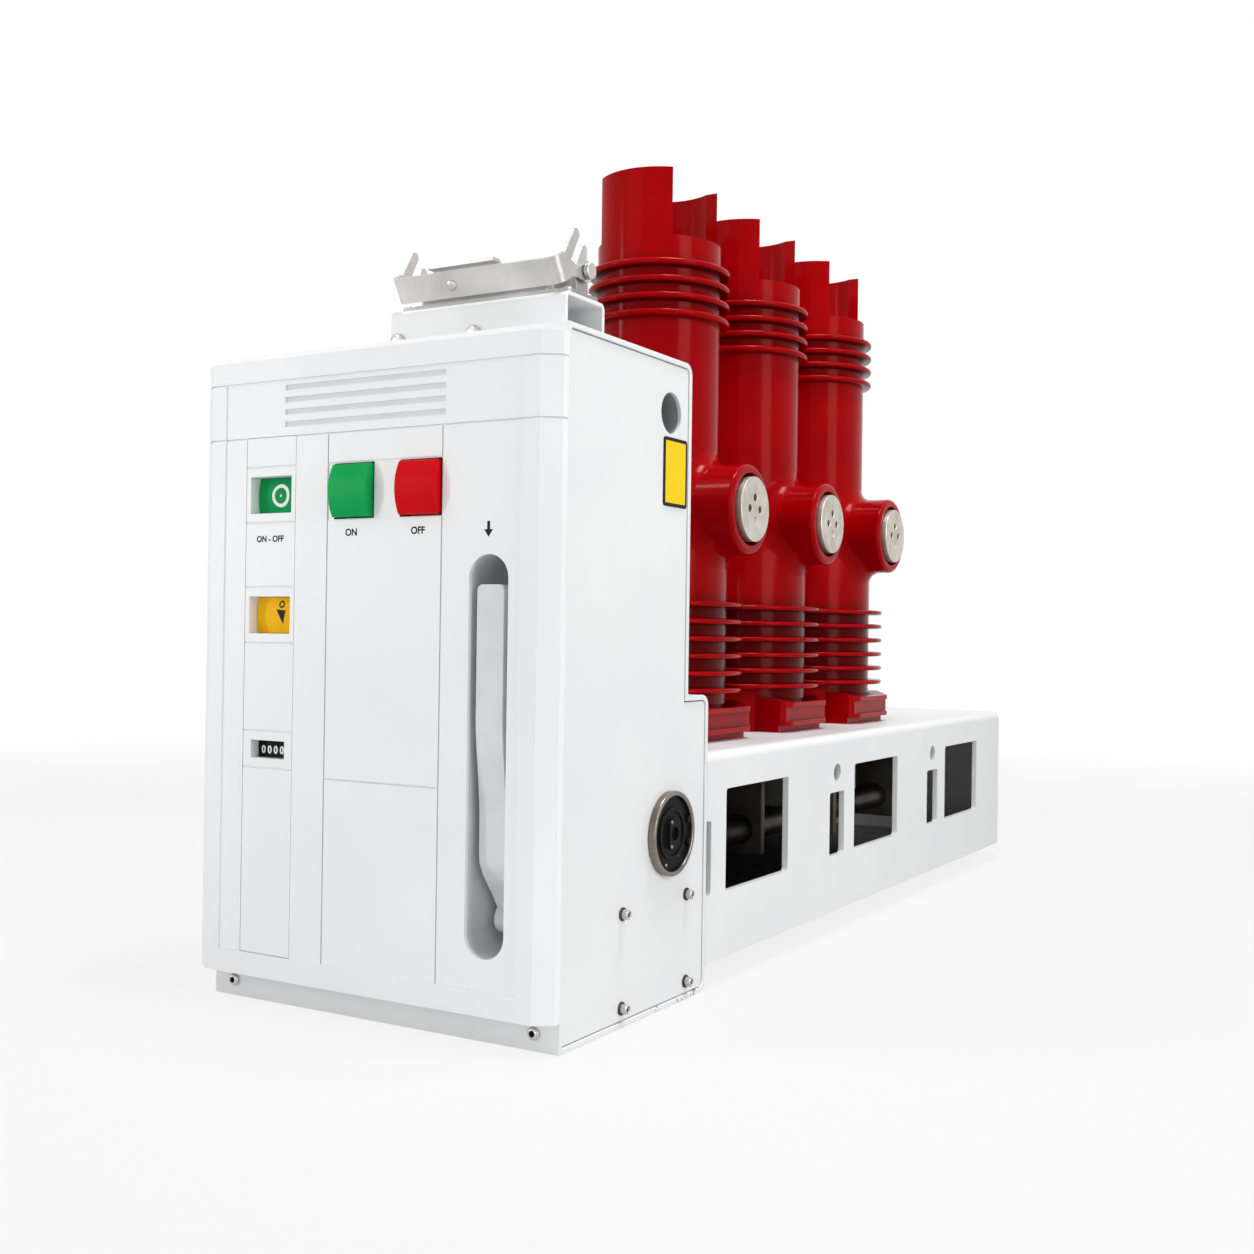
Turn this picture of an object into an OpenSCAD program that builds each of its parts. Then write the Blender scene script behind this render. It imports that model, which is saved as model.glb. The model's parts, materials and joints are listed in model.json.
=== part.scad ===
// Side-mounted vacuum circuit breaker: a sheet-steel mechanism enclosure with a moulded front
// cover, a hollow pole beam behind it, and moulded epoxy poles standing on the beam.
// X runs across the front, Y runs from the front to the far end of the beam, Z is up.
// The origin is the centre of the enclosure's underside.

/* [Mechanism enclosure] */
// Width of the enclosure across its front
enclosure_w = 311; // [290:1:350]
// Depth of the enclosure at its foot
enclosure_d = 208; // [190:1:260]
// Height of the enclosure
enclosure_h = 481; // [470:1:520]
// Distance by which the upper rear wall is set forward of the lower one
step_d = 34; // [15:1:60]
// Height of the step in the rear wall
step_h = 230; // [210:1:300]
// Thickness of the folded sheet that wraps the enclosure
sheet_t = 4; // [2:0.5:6]
// Outside radius of the folds of the wrap
fold_r = 9; // [8:0.5:14]
// Thickness of each side plate
side_plate_t = 3; // [2:0.5:5]
// Depth by which a side plate is set in from the edge of the wrap
side_plate_inset = 1; // [0.5:0.25:3]
// Seam between a side plate and the wrap
seam_gap = 0.8; // [0.4:0.1:0.9]
// Thickness of the front plate
front_plate_t = 3; // [2:0.5:5]
// Radius of the lifting hole in each side plate
lifting_hole_r = 15.4; // [10:0.2:18]
// Distance from the upper rear wall to the middle of the lifting hole
lifting_hole_back = 31; // [28:1:60]
// Distance from the top of the enclosure to the middle of the lifting hole
lifting_hole_drop = 41; // [30:1:60]

/* [Front cover] */
// Distance by which the cover overhangs the left side of the enclosure
cover_overhang = 9; // [2:0.5:16]
// Depth of the cover in front of the enclosure
cover_d = 15; // [14:0.5:20]
// Height of the lower edge of the cover above the floor
cover_lift = 21; // [10:1:30]
// Distance from the top of the enclosure down to the top edge of the cover
cover_top_gap = 7; // [2:0.5:12]
// Wall of the cover moulding
cover_wall = 4; // [3.5:0.25:5]
// Width of the bevel on each upright edge of the cover
bevel_w = 12.5; // [6:0.5:18]
// Depth of that bevel
bevel_d = 9; // [4:0.5:10]
// Width of the raised border at each side of the recessed field
border_w = 26; // [20:0.5:32]
// Depth of the recessed field below the border
field_drop = 1; // [0.5:0.1:1.4]
// Height of the raised band along the top of the cover
head_band_h = 16; // [10:1:24]
// Height of the raised band along the bottom of the cover
foot_band_h = 17; // [10:1:24]
// Height of the vent band under the top band
vent_band_h = 41; // [38:1:44]
// Number of vent grooves
vent_count = 4; // [2:1:4]
// Width of the vent grooves
vent_w = 146; // [100:1:160]
// Height of one vent groove
vent_h = 4; // [2:0.5:5]
// Spacing of the vent grooves
vent_pitch = 8.9; // [7:0.1:9.4]
// Distance from the left edge of the cover to the vent grooves
vent_left = 84.5; // [70:0.5:100]
// Width of the seam lines in the cover
seam_line_w = 1.2; // [0.6:0.1:2]
// Depth of the seam lines and vent grooves
groove_depth = 1.2; // [0.5:0.1:1.4]
// Distance from the left edge of the cover to the centre panel
panel_left = 127; // [126:1:136]
// Width of the centre panel
panel_w = 102; // [98:1:106]
// Height of the seam across the centre panel
panel_seam_z = 170.6; // [120:1:240]

/* [Indicators] */
// Distance from the left edge of the cover to the indicator strip
strip_left = 47; // [44:1:56]
// Width of the indicator strip
strip_w = 49; // [46:1:56]
// Thickness of the indicator strip
strip_t = 1.6; // [1:0.1:2]
// Gap round the indicator strip
strip_gap = 0.5; // [0.3:0.1:0.8]
// Width of the indicator windows
window_w = 40; // [30:1:42]
// Height of the indicator windows
window_h = 27; // [20:1:34]
// Distance from the top of the cover to the middle of the open and closed indicator
position_window_drop = 99.5; // [93:0.5:112]
// Distance from that indicator down to the middle of the spring indicator
spring_window_drop = 88; // [64:1:100]
// Width of the counter window
counter_w = 33; // [24:1:38]
// Height of the counter window
counter_h = 13; // [10:1:18]
// Distance from the spring indicator down to the middle of the counter window
counter_drop = 98.5; // [70:0.5:110]
// Distance from a window to the seams above and below it
window_seam_gap = 7; // [4:0.5:8]
// Depth of the indicator faces in front of the front plate
flag_d = 6; // [4:0.5:8]

/* [Push buttons] */
// Distance from the left edge of the cover to the middle of the close button
button_left = 150; // [149:0.5:154]
// Spacing of the two buttons
button_pitch = 59.5; // [55:0.5:62]
// Distance from the top of the cover to the middle of the buttons
button_drop = 99.3; // [93:0.1:112]
// Width of a button
button_w = 34.5; // [28:0.5:38]
// Height of a button
button_h = 37.5; // [30:0.5:44]
// Distance by which the edge of a button stands proud of the cover
button_proud = 1.5; // [0.5:0.1:3]
// Further rise of the curved face at the middle of a button
button_crown = 5; // [2:0.5:8]
// Depth of the button cap behind the cover face
button_depth = 8; // [6:0.5:9]
// Gap round a button
button_gap = 1; // [0.6:0.1:1.5]
// Radius of the button stem
stem_r = 5; // [3:0.5:7]

/* [Charging handle] */
// Distance from the right edge of the cover to the middle of the handle slot
slot_right = 52; // [48:0.5:58]
// Width of the handle slot
slot_w = 32; // [30:0.5:36]
// Height of the bottom of the handle slot
slot_low_z = 59; // [50:1:66]
// Height of the top of the handle slot
slot_high_z = 328; // [316:1:345]
// Depth of the handle pocket behind the cover face
pocket_d = 53; // [52:1:70]
// Wall of the handle pocket
pocket_t = 2; // [1.5:0.25:4]
// Width of the handle
handle_w = 22; // [16:0.5:22]
// Thickness of the handle
handle_t = 9; // [6:0.5:11]
// Height of the top of the handle
handle_top_z = 308; // [290:1:311]
// Height of the handle pivot
pivot_z = 80; // [77:1:90]
// Depth of the upper handle's middle behind the cover face
handle_front_d = 8; // [7:0.5:10]
// Inward set of the bend half way down the handle
middle_set = 6; // [3:0.5:8]
// Inward set of the bend above the pivot
pivot_set = 24; // [20:0.5:24]
// Radius of the corners at the top of the handle
handle_corner_r = 4; // [2:0.5:6]
// Radius of the handle hub
hub_r = 10; // [8:0.5:10]
// Radius of the handle pin
handle_pin_r = 4; // [3:0.25:5]

/* [Control connector] */
// Distance from the middle of the enclosure to the middle of the connector
connector_x = 48; // [-60:1:60]
// Length of the connector bracket
bracket_l = 155; // [150:1:180]
// Depth of the top of the connector bracket
bracket_d = 52; // [50:1:64]
// Distance from the middle of the connector to the middle of its bracket
bracket_shift = 2; // [0:0.5:3]
// Height of the connector bracket
bracket_h = 33.5; // [20:0.5:45]
// Outside radius of the bends of the bracket
bracket_bend_r = 5; // [4.5:0.5:8]
// Thickness of the bracket sheet
bracket_t = 3; // [2:0.5:4]
// Distance from the front of the enclosure to the bracket
bracket_back = 45; // [35:1:55]
// Width of the feet of the bracket
bracket_foot_w = 16; // [12:1:20]
// Length of the connector's mounting flange
flange_l = 149; // [146:1:150]
// Depth of that flange
flange_d = 42; // [40:1:50]
// Thickness of that flange
flange_t = 3; // [3:0.5:6]
// Length of the connector housing
housing_l = 116; // [100:1:118]
// Depth of the connector housing
housing_d = 36; // [30:1:38]
// Height of the connector housing above its flange
housing_h = 16; // [12:1:20]
// Radius of the upright corners of the housing and of the flange
housing_corner_r = 5; // [4.5:0.5:8]
// Wall of the connector housing
housing_wall = 3; // [2:0.5:4]
// Height of the contact insert above the flange
insert_h = 6; // [3:0.5:10]
// Height of the bail pivot above the flange
bail_pivot_h = 16.5; // [16:0.5:22]
// Distance of the bail pivot behind the middle of the connector
bail_pivot_back = 5; // [2:0.5:8]
// Radius of the bail pins
bail_pin_r = 3; // [2:0.25:4]
// Thickness of the bail sheet
bail_t = 2.5; // [2:0.25:3]
// Distance from the middle of the connector to the inside of each bail arm
bail_half_l = 70.5; // [69:0.5:72]
// Reach of the bail in front of its pivot, at its lower edge
bail_reach = 30; // [29:0.5:34]
// Distance of the lower edge of the bail strip below the pivot
bail_strip_drop = 14.4; // [12:0.2:15]
// Forward lean of the bail strip in degrees
bail_lean = 30; // [20:1:34]
// Height of the bail strip along its slope
bail_strip_h = 19; // [15:0.5:21]
// Outside radius of the corners of the bail
bail_corner_r = 8; // [6:0.5:10]
// Radius of the hub of a bail arm
bail_hub_r = 8; // [7:0.5:9]
// Height of the front ears of the bail above its pivot
bail_ear_h = 27.5; // [22:0.5:32]
// Distance of the tip of a front ear in front of the pivot
bail_ear_set = 14.5; // [12:0.5:18]
// Radius of the tip of a front ear
bail_ear_r = 4; // [3:0.5:5]
// Height of the rear ears of the bail above its pivot
rear_ear_h = 18; // [14:0.5:20]
// Width of the finger lip on the bail strip
tongue_w = 58; // [40:1:80]
// Distance of the middle of that lip to the left of the bail's middle
tongue_shift = 2.5; // [0:0.5:12]
// Length of the flat of that lip
tongue_d = 6; // [4:0.5:9]

/* [Shaft coupling] */
// Distance of the coupling in front of the lower rear wall
coupling_back = 61; // [50:1:80]
// Height of the middle of the coupling
coupling_z = 129; // [110:1:150]
// Outside radius of the coupling rim
coupling_r = 31.5; // [26:0.5:36]
// Wall of the coupling rim
coupling_wall = 3.5; // [2.5:0.5:5]
// Distance by which the rim stands out of the side plate
coupling_proud = 6; // [5:0.5:10]
// Radius of the boss of the coupling hub
coupling_boss_r = 12; // [9:0.5:15]
// Radius of the hole in the coupling hub
coupling_hole_r = 5; // [3:0.25:6]

/* [Pole beam] */
// Length of the beam behind the enclosure
beam_l = 808; // [760:1:900]
// Width of the beam
beam_w = 234; // [220:1:260]
// Height of the top of the beam above the floor
beam_top_z = 185; // [180:1:200]
// Height of the underside of the beam above the floor
beam_low_z = 20; // [12:1:26]
// Thickness of the beam sheet
beam_t = 5.5; // [2.5:0.5:6]
// Outside radius of the folds along the top of the beam
beam_fold_r = 8; // [7:0.5:14]
// Width of the flanges turned in along the underside of the beam
beam_flange_w = 25; // [15:1:40]
// Distance from the enclosure to the first window
bay_start = 34; // [28:1:44]
// Spacing of the windows
bay_pitch = 279; // [260:1:290]
// Radius of the corners of the windows and slots
bay_corner_r = 3; // [1:0.5:6]
// Thickness of the plate that closes the underside of the beam
base_plate_t = 3; // [2:0.5:5]
// Number of windows
bay_count = 3; // [2:1:3]
// Width of a window
bay_w = 122; // [90:1:130]
// Height of a window
bay_h = 82; // [60:1:88]
// Height of the lower edge of the windows
bay_low_z = 72; // [60:1:80]
// Width of the slot in front of each window
slit_w = 36; // [20:1:40]
// Height of that slot
slit_h = 59; // [40:1:64]
// Distance between a slot and the window behind it
slit_gap = 26; // [20:1:30]
// Radius of the round hole above each slot
slit_hole_r = 8.5; // [5:0.5:10]
// Distance from the top of a slot to the middle of its round hole
slit_hole_rise = 18; // [16:0.5:20]

/* [Poles] */
// Number of poles
pole_count = 3; // [3:1:3]
// Distance from the enclosure to the first pole
pole_start = 122; // [115:1:140]
// Spacing of the poles
pole_pitch = 175.5; // [172:0.5:220]
// Radius of the upper column
upper_r = 55; // [50:0.5:58]
// Radius of the lower column
lower_r = 64.5; // [60:0.5:68]
// Height of a pole above the beam
pole_h = 492; // [480:1:540]
// Height of the cheeks at the top of a pole
cheek_h = 58; // [40:1:70]
// Width of the slot between the cheeks
cheek_gap = 84; // [70:1:90]
// Wall of the cheeks
cheek_wall = 6.5; // [5:0.5:8]
// Depth of the top pocket below the cheeks
top_pocket_d = 22; // [16:1:30]
// Radius of the upper sheds
upper_shed_r = 63.5; // [60:0.5:70]
// Thickness of the upper sheds
upper_shed_t = 5.6; // [4:0.2:7]
// Number of upper sheds
upper_shed_count = 4; // [2:1:5]
// Spacing of the upper sheds
upper_shed_pitch = 14.5; // [12:0.5:18]
// Distance from the foot of the cheeks to the first upper shed
upper_shed_drop = 24; // [18:1:32]
// Radius of the lower sheds
lower_shed_r = 78.5; // [72:0.5:84]
// Thickness of the lower sheds
lower_shed_t = 4.6; // [3:0.2:6]
// Number of lower sheds
lower_shed_count = 6; // [3:1:6]
// Spacing of the lower sheds
lower_shed_pitch = 14.9; // [12:0.1:15]
// Height of the highest lower shed above the beam
lower_shed_top = 118; // [117:0.2:124]
// Extra thickness of every shed at its root, on each face
shed_draft = 0.8; // [0:0.1:1.2]
// Height of the lower contact above the beam
contact_z = 200; // [192:1:215]
// Radius of the contact arm
arm_r = 39.2; // [37:0.2:44]
// Distance from the pole's axis to the rim of the contact arm
arm_reach = 93.5; // [88:0.5:110]
// Radius of the round rim of the contact arm
arm_rim_r = 4; // [1:0.5:5]
// Length of the fillet where the arm meets the column
fillet_l = 18; // [10:1:22]
// Radius of the contact pads
pad_r = 28; // [24:0.5:29]
// Gap between a contact pad and the arm round it
pad_ring = 3.5; // [1.5:0.25:4]
// Length of the contact pads
pad_l = 24; // [16:1:30]
// Distance by which a contact pad stands proud of the arm
pad_proud = 4; // [0.5:0.25:5]
// Radius of the circle of fixing holes in the contact pads
pad_hole_circle_r = 10; // [8:0.5:14]
// Radius of the fixing holes
pad_hole_r = 3.4; // [2.5:0.1:4]
// Depth of the fixing holes
pad_hole_d = 14; // [8:1:15]
// Number of fixing holes
pad_hole_count = 4; // [3:1:4]
// Height of the foot of a pole
foot_h = 33; // [31:0.5:36]
// Width of the foot along the beam
foot_w = 100; // [90:1:130]
// Distance from the pole's axis to the edge of the foot's lips
foot_reach = 76; // [74:0.5:90]
// Thickness of the lips of the foot
lip_t = 4.5; // [3:0.5:6]
// Height of the lower lip above the beam
low_lip_z = 6.5; // [5:0.5:10]
// Height of the upper lip above the beam
high_lip_z = 24; // [20:0.5:25]
// Depth of the wall between the lips behind their edges
lip_d = 4; // [2:0.5:8]
// Depth of the wall below the lower lip behind its edge
base_set = 10.5; // [6:0.5:12]
// Length over which the top of the foot falls to its upper lip
foot_fall_l = 20; // [12:1:30]
// Radius of the upright corners of the foot
foot_corner_r = 12; // [8:0.5:16]

/* [Pole drive] */
// Radius of the drive shaft
shaft_r = 13; // [9:0.5:16]
// Distance of the shaft from the line of the poles
shaft_offset = 46; // [42:1:54]
// Distance of the shaft below the top of the beam
shaft_drop = 88; // [80:1:100]
// Thickness of a crank
crank_t = 12; // [8:1:16]
// Radius of the eye of a crank
eye_r = 12; // [10:0.5:14]
// Radius of the drive pins
drive_pin_r = 5; // [4:0.25:6]
// Radius of the pull rods
rod_r = 11; // [8:0.5:14]
// Radius of the rod holes in the beam and poles
rod_hole_r = 22; // [20:0.5:26]
// Depth of the rod hole in a pole
rod_hole_d = 46; // [36:1:60]
// Thickness of a fork's cheeks
fork_t = 6; // [4:0.5:8]
// Thickness of the shaft hangers
hanger_t = 8; // [5:0.5:12]
// Width of the shaft hangers
hanger_w = 44; // [38:1:50]

/* [Hidden] */
$fn = 64;

// Overrun of every cut past the face that it opens
overrun = 2;
// Clearance between a fixed piece and its seat
seat_gap = 0.3;
// Radial clearance of a pin in its bore
pin_gap = 0.3;

// Planes of the enclosure and cover
front_y = -enclosure_d / 2;
rear_y = enclosure_d / 2;
upper_rear_y = rear_y - step_d;
right_x = enclosure_w / 2;
left_x = -right_x;
wrap_front_y = front_y + front_plate_t;
cover_w = enclosure_w + cover_overhang;
cover_left_x = right_x - cover_w;
cover_front_y = front_y - cover_d;
cover_top_z = enclosure_h - cover_top_gap;
cover_back_y = cover_front_y + cover_wall;
field_y = cover_front_y + field_drop;
field_low_z = cover_lift + foot_band_h;
field_high_z = cover_top_z - head_band_h;
vent_band_z = field_high_z - vent_band_h;
lifting_y = upper_rear_y - lifting_hole_back;
lifting_z = enclosure_h - lifting_hole_drop;

// Wall round each opening behind the cover face
reveal_t = 1.5;
// Places of the controls on the cover
strip_x = cover_left_x + strip_left;
window_x = strip_x + strip_w / 2;
panel_x = cover_left_x + panel_left;
close_x = cover_left_x + button_left;
trip_x = close_x + button_pitch;
slot_x = right_x - slot_right;
position_window_z = cover_top_z - position_window_drop;
spring_window_z = position_window_z - spring_window_drop;
counter_z = spring_window_z - counter_drop;
button_z = cover_top_z - button_drop;
// Share of the indicator strip's thickness that its seams cut into
strip_seam_share = 0.5;
button_back_y = cover_front_y + button_depth;
// Length of the stem behind the front plate and size of its retaining collar
stem_tail = 14;
collar_t = 3;
collar_extra_r = 3;
// Depth of the recess round the buttons and the band of cover above and below them
button_recess_d = 1;
button_recess_margin = 2;

// The handle pivot, behind the cover face
pivot_y = cover_front_y + handle_front_d + middle_set + pivot_set;
// Shares of the handle's length at which its two bends begin and end
pivot_bend_shares = [0, 0.2];
middle_bend_shares = [0.3, 0.62];
handle_steps = 28;

// Places of the connector
bracket_y = front_y + bracket_back;
connector_y = bracket_y + bracket_d / 2;
flange_z = enclosure_h + bracket_h;
flange_top_z = flange_z + flange_t;
bail_y = connector_y + bail_pivot_back;
bail_z = flange_top_z + bail_pivot_h;
// Lugs that carry the bail pins, and the heads of those pins
lug_t = 3;
lug_w = 16;
lug_x = bail_half_l - lug_t - 5 * pin_gap;
pin_head_r = 6;
pin_head_l = 4;
// Length of the bent corner piece of the bail on each arm
bail_corner_l = bail_corner_r + bail_t;
// Radius of the root of a front ear
ear_root_r = 4.5;
// Distance of an arm's faces inside the band's faces, and of a bar's sides inside its end circles
arm_inset = 0.2;
// Radii of the tip and root of a rear ear, and their places in front of the pivot
rear_ear_r = 3.5;
rear_ear_set = 3.5;
rear_root_r = 7;
rear_root_set = 7.5;
// Inside radius, bend and steps of the finger lip
tongue_bend_r = 2.5;
tongue_bend = 60;
tongue_steps = 8;

// Places of the coupling
coupling_y = rear_y - coupling_back;
coupling_x = right_x - side_plate_inset;
coupling_disc_t = 3;
coupling_flat_share = 0.7;

// Places of the beam and poles
beam_high_x = right_x;
beam_low_x = right_x - beam_w;
pole_x = (beam_high_x + beam_low_x) / 2;
function pole_y(i) = rear_y + pole_start + i * pole_pitch;
function bay_y(i) = rear_y + bay_start + i * bay_pitch;
cheek_low_z = pole_h - cheek_h;
top_floor_z = cheek_low_z - top_pocket_d;
upper_shed_z = cheek_low_z - upper_shed_drop;
pad_x = arm_reach + pad_proud - pad_l;
// Height over which the lower column tapers to the upper one, centred on the lower contact
taper_h = 60;
// Depth by which the arm's fillet runs into the arm and into the column, and its fineness
fillet_sink = 0.4;
fillet_turns = 40;
fillet_steps = 6;
// Share of the column's radius within which the fillet ends
fillet_limit_share = 0.95;
// Upper contact: its height in the top pocket
upper_pad_h = 18;
foot_steps = 8;

// Places of the drive
shaft_x = pole_x + shaft_offset;
shaft_z = beam_top_z - shaft_drop;
shaft_tail = 20;
shaft_end_y = pole_y(pole_count - 1) + pole_pitch / 2 + shaft_tail;
rod_top_z = beam_top_z + rod_hole_d - seat_gap;
fork_gap = 1;
fork_h = 30;

function ease(t) = let(c = min(1, max(0, t))) c * c * (3 - 2 * c);
function between(t, shares) = ease((t - shares[0]) / (shares[1] - shares[0]));

// Sweeps a (y, z) outline along x
module along_x(x0, length) {
    translate([x0, 0, 0]) rotate([90, 0, 90]) linear_extrude(length) children();
}

// Sweeps an (x, z) outline along y
module along_y(y0, length) {
    translate([0, y0 + length, 0]) rotate([90, 0, 0]) linear_extrude(length) children();
}

// A round bar along x
module bar_x(x0, length, r) {
    translate([x0, 0, 0]) rotate([0, 90, 0]) cylinder(h = length, r = r);
}

// A round bar along y
module bar_y(y0, length, r) {
    translate([0, y0, 0]) rotate([-90, 0, 0]) cylinder(h = length, r = r);
}

// A box centred on x and z, from one y to another
module window_box(w, h, y0, y1) {
    translate([-w / 2, y0, -h / 2]) cube([w, y1 - y0, h]);
}

// An upright slot outline with round ends
module slot_outline(w, low, high) {
    translate([-w / 2, low + w / 2]) square([w, high - low - w]);
    for (z = [low + w / 2, high - w / 2]) translate([0, z]) circle(d = w);
}

// A rectangle outline with rounded corners, centred on x
module round_rect(w, low, high, r) {
    translate([-w / 2, low + r]) square([w, high - low - 2 * r]);
    translate([r - w / 2, low]) square([w - 2 * r, high - low]);
    for (x = [r - w / 2, w / 2 - r], z = [low + r, high - r]) translate([x, z]) circle(r = r);
}

// A rectangle outline whose two upper corners are rounded
module top_rounded(x0, x1, low, top, r) {
    translate([x0, low]) square([x1 - x0, top - r - low]);
    translate([x0 + r, low]) square([x1 - x0 - 2 * r, top - low]);
    for (x = [x0 + r, x1 - r]) translate([x, top - r]) circle(r = r);
}

// A rectangle whose two rear corners are rounded
module rear_rounded(y0, y1, z0, z1, r) {
    translate([y0, z0]) square([y1 - r - y0, z1 - z0]);
    translate([y0, z0 + r]) square([y1 - y0, z1 - z0 - 2 * r]);
    for (z = [z0 + r, z1 - r]) translate([y1 - r, z]) circle(r = r);
}

// The stepped side view of the enclosure
module enclosure_outline(inset, y0) {
    r = fold_r - inset;
    rear_rounded(y0, rear_y - inset, inset, step_h - inset, r);
    rear_rounded(y0, upper_rear_y - inset, inset, enclosure_h - inset, r);
}

module enclosure_wrap() {
    color("whitesmoke") along_x(left_x, enclosure_w) difference() {
        enclosure_outline(0, wrap_front_y);
        enclosure_outline(sheet_t, wrap_front_y - overrun);
    }
}

module side_plate(x0) {
    color("whitesmoke") difference() {
        along_x(x0, side_plate_t) enclosure_outline(sheet_t + seam_gap, wrap_front_y + seam_gap);
        translate([0, lifting_y, lifting_z])
            bar_x(x0 - overrun, side_plate_t + 2 * overrun, lifting_hole_r);
    }
}

module side_plate_right() {
    side_plate(right_x - side_plate_inset - side_plate_t);
}

module side_plate_left() {
    side_plate(left_x + side_plate_inset);
}

module front_plate() {
    color("whitesmoke") difference() {
        translate([left_x, front_y, 0]) cube([enclosure_w, front_plate_t, enclosure_h]);
        translate([slot_x, 0, 0]) along_y(front_y - overrun, front_plate_t + 2 * overrun)
            slot_outline(slot_w + 2 * (pocket_t + seat_gap),
                slot_low_z - pocket_t - seat_gap, slot_high_z + pocket_t + seat_gap);
        for (x = [close_x, trip_x]) translate([x, 0, button_z])
            bar_y(front_y - overrun, front_plate_t + 2 * overrun, stem_r + pin_gap);
    }
}

// The cover's plan with its beveled edges, set in by a wall
module cover_plan(inset) {
    polygon([
        [cover_left_x + inset, front_y],
        [cover_left_x + inset, cover_front_y + bevel_d + inset / 2],
        [cover_left_x + bevel_w + inset / 2, cover_front_y + inset],
        [right_x - bevel_w - inset / 2, cover_front_y + inset],
        [right_x - inset, cover_front_y + bevel_d + inset / 2],
        [right_x - inset, front_y]]);
}

// Cuts or walls for every opening of the cover, grown by a margin
module cover_openings(grow, y0, y1) {
    for (z = [position_window_z, spring_window_z]) translate([window_x, 0, z])
        window_box(window_w + 2 * grow, window_h + 2 * grow, y0, y1);
    translate([window_x, 0, counter_z])
        window_box(counter_w + 2 * grow, counter_h + 2 * grow, y0, y1);
    for (x = [close_x, trip_x]) translate([x, 0, button_z])
        window_box(button_w + 2 * (button_gap + grow), button_h + 2 * (button_gap + grow), y0, y1);
}

// A thin groove in the recessed field
module field_groove(x0, x1, z0, z1) {
    translate([x0, cover_front_y - overrun, z0])
        cube([x1 - x0, overrun + field_drop + groove_depth, z1 - z0]);
}

// A thin groove round the whole front of the cover, bevels included
module round_groove(z) {
    translate([0, 0, z - seam_line_w]) linear_extrude(seam_line_w) difference() {
        cover_plan(-overrun);
        cover_plan(groove_depth);
    }
}

module cover_seams() {
    left = cover_left_x + border_w;
    right = right_x - border_w;
    field_groove(left, right, vent_band_z - seam_line_w, vent_band_z);
    for (z = [field_high_z, vent_band_z]) round_groove(z);
    for (x = [panel_x, panel_x + panel_w])
        field_groove(x - seam_line_w, x, field_low_z, vent_band_z);
    field_groove(panel_x, panel_x + panel_w, panel_seam_z - seam_line_w, panel_seam_z);
    for (i = [0 : vent_count - 1]) {
        top = field_high_z - vent_h - i * vent_pitch;
        field_groove(cover_left_x + vent_left, cover_left_x + vent_left + vent_w, top - vent_h, top);
    }
}

module front_cover() {
    color("gainsboro") difference() {
        union() {
            difference() {
                translate([0, 0, cover_lift]) linear_extrude(cover_top_z - cover_lift) cover_plan(0);
                translate([0, overrun, cover_lift + cover_wall])
                    linear_extrude(cover_top_z - cover_lift - 2 * cover_wall) cover_plan(cover_wall);
                translate([0, 0, cover_lift + cover_wall])
                    linear_extrude(cover_top_z - cover_lift - 2 * cover_wall) cover_plan(cover_wall);
            }
            cover_openings(reveal_t, cover_back_y, front_y);
        }
        translate([cover_left_x + border_w, cover_front_y - overrun, field_low_z])
            cube([cover_w - 2 * border_w, overrun + field_drop, field_high_z - field_low_z]);
        translate([strip_x, cover_front_y - overrun, field_low_z])
            cube([strip_w, overrun + field_drop + strip_t, vent_band_z - field_low_z]);
        translate([panel_x, cover_front_y - overrun, button_z - button_h / 2 - button_recess_margin])
            cube([panel_w, overrun + field_drop + button_recess_d, button_h + 2 * button_recess_margin]);
        cover_seams();
        cover_openings(0, cover_front_y - overrun, front_y + overrun);
        translate([slot_x, 0, 0]) along_y(cover_front_y - overrun, cover_wall + 2 * overrun)
            slot_outline(slot_w, slot_low_z, slot_high_z);
    }
}

module indicator_strip() {
    color("gainsboro") difference() {
        translate([strip_x + strip_gap, field_y, field_low_z + strip_gap])
            cube([strip_w - 2 * strip_gap, strip_t, vent_band_z - field_low_z - 2 * strip_gap]);
        cover_openings(0, cover_front_y - overrun, front_y);
        for (z = [position_window_z, spring_window_z], side = [-1, 1])
            strip_seam(z + side * (window_h / 2 + window_seam_gap));
        for (side = [-1, 1]) strip_seam(counter_z + side * (counter_h / 2 + window_seam_gap));
    }
}

// A thin seam across the indicator strip
module strip_seam(z) {
    translate([strip_x, field_y - overrun, z - seam_line_w / 2])
        cube([strip_w, overrun + strip_t * strip_seam_share, seam_line_w]);
}

// An indicator face with a crowned front, seated on the front plate
module flag(z, w, h) {
    rise = flag_d / 3;
    r = (h * h / 4 + rise * rise) / (2 * rise);
    translate([window_x, 0, z]) intersection() {
        window_box(w - 2 * seat_gap, h - 2 * seat_gap, front_y - flag_d, front_y);
        translate([0, front_y - flag_d + r, 0]) bar_x(-w, 2 * w, r);
    }
}

module position_indicator() {
    color("seagreen") flag(position_window_z, window_w, window_h);
}

module spring_indicator() {
    color("gold") flag(spring_window_z, window_w, window_h);
}

module operation_counter() {
    color("black") translate([window_x, 0, counter_z])
        window_box(counter_w - 2 * seat_gap, counter_h - 2 * seat_gap, front_y - flag_d, front_y);
}

// A crowned cap on a stem that runs through the front plate
module push_button(x) {
    r = (button_h * button_h / 4 + button_crown * button_crown) / (2 * button_crown);
    crown_y = cover_front_y - button_proud - button_crown;
    plate_back_y = front_y + front_plate_t;
    translate([x, 0, button_z]) {
        intersection() {
            window_box(button_w, button_h, crown_y, button_back_y);
            translate([0, crown_y + r, 0]) bar_x(-button_w, 2 * button_w, r);
        }
        bar_y(button_back_y, plate_back_y + stem_tail - button_back_y, stem_r);
        bar_y(plate_back_y + seat_gap, collar_t, stem_r + collar_extra_r);
    }
}

module close_button() {
    color("mediumseagreen") push_button(close_x);
}

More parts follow.
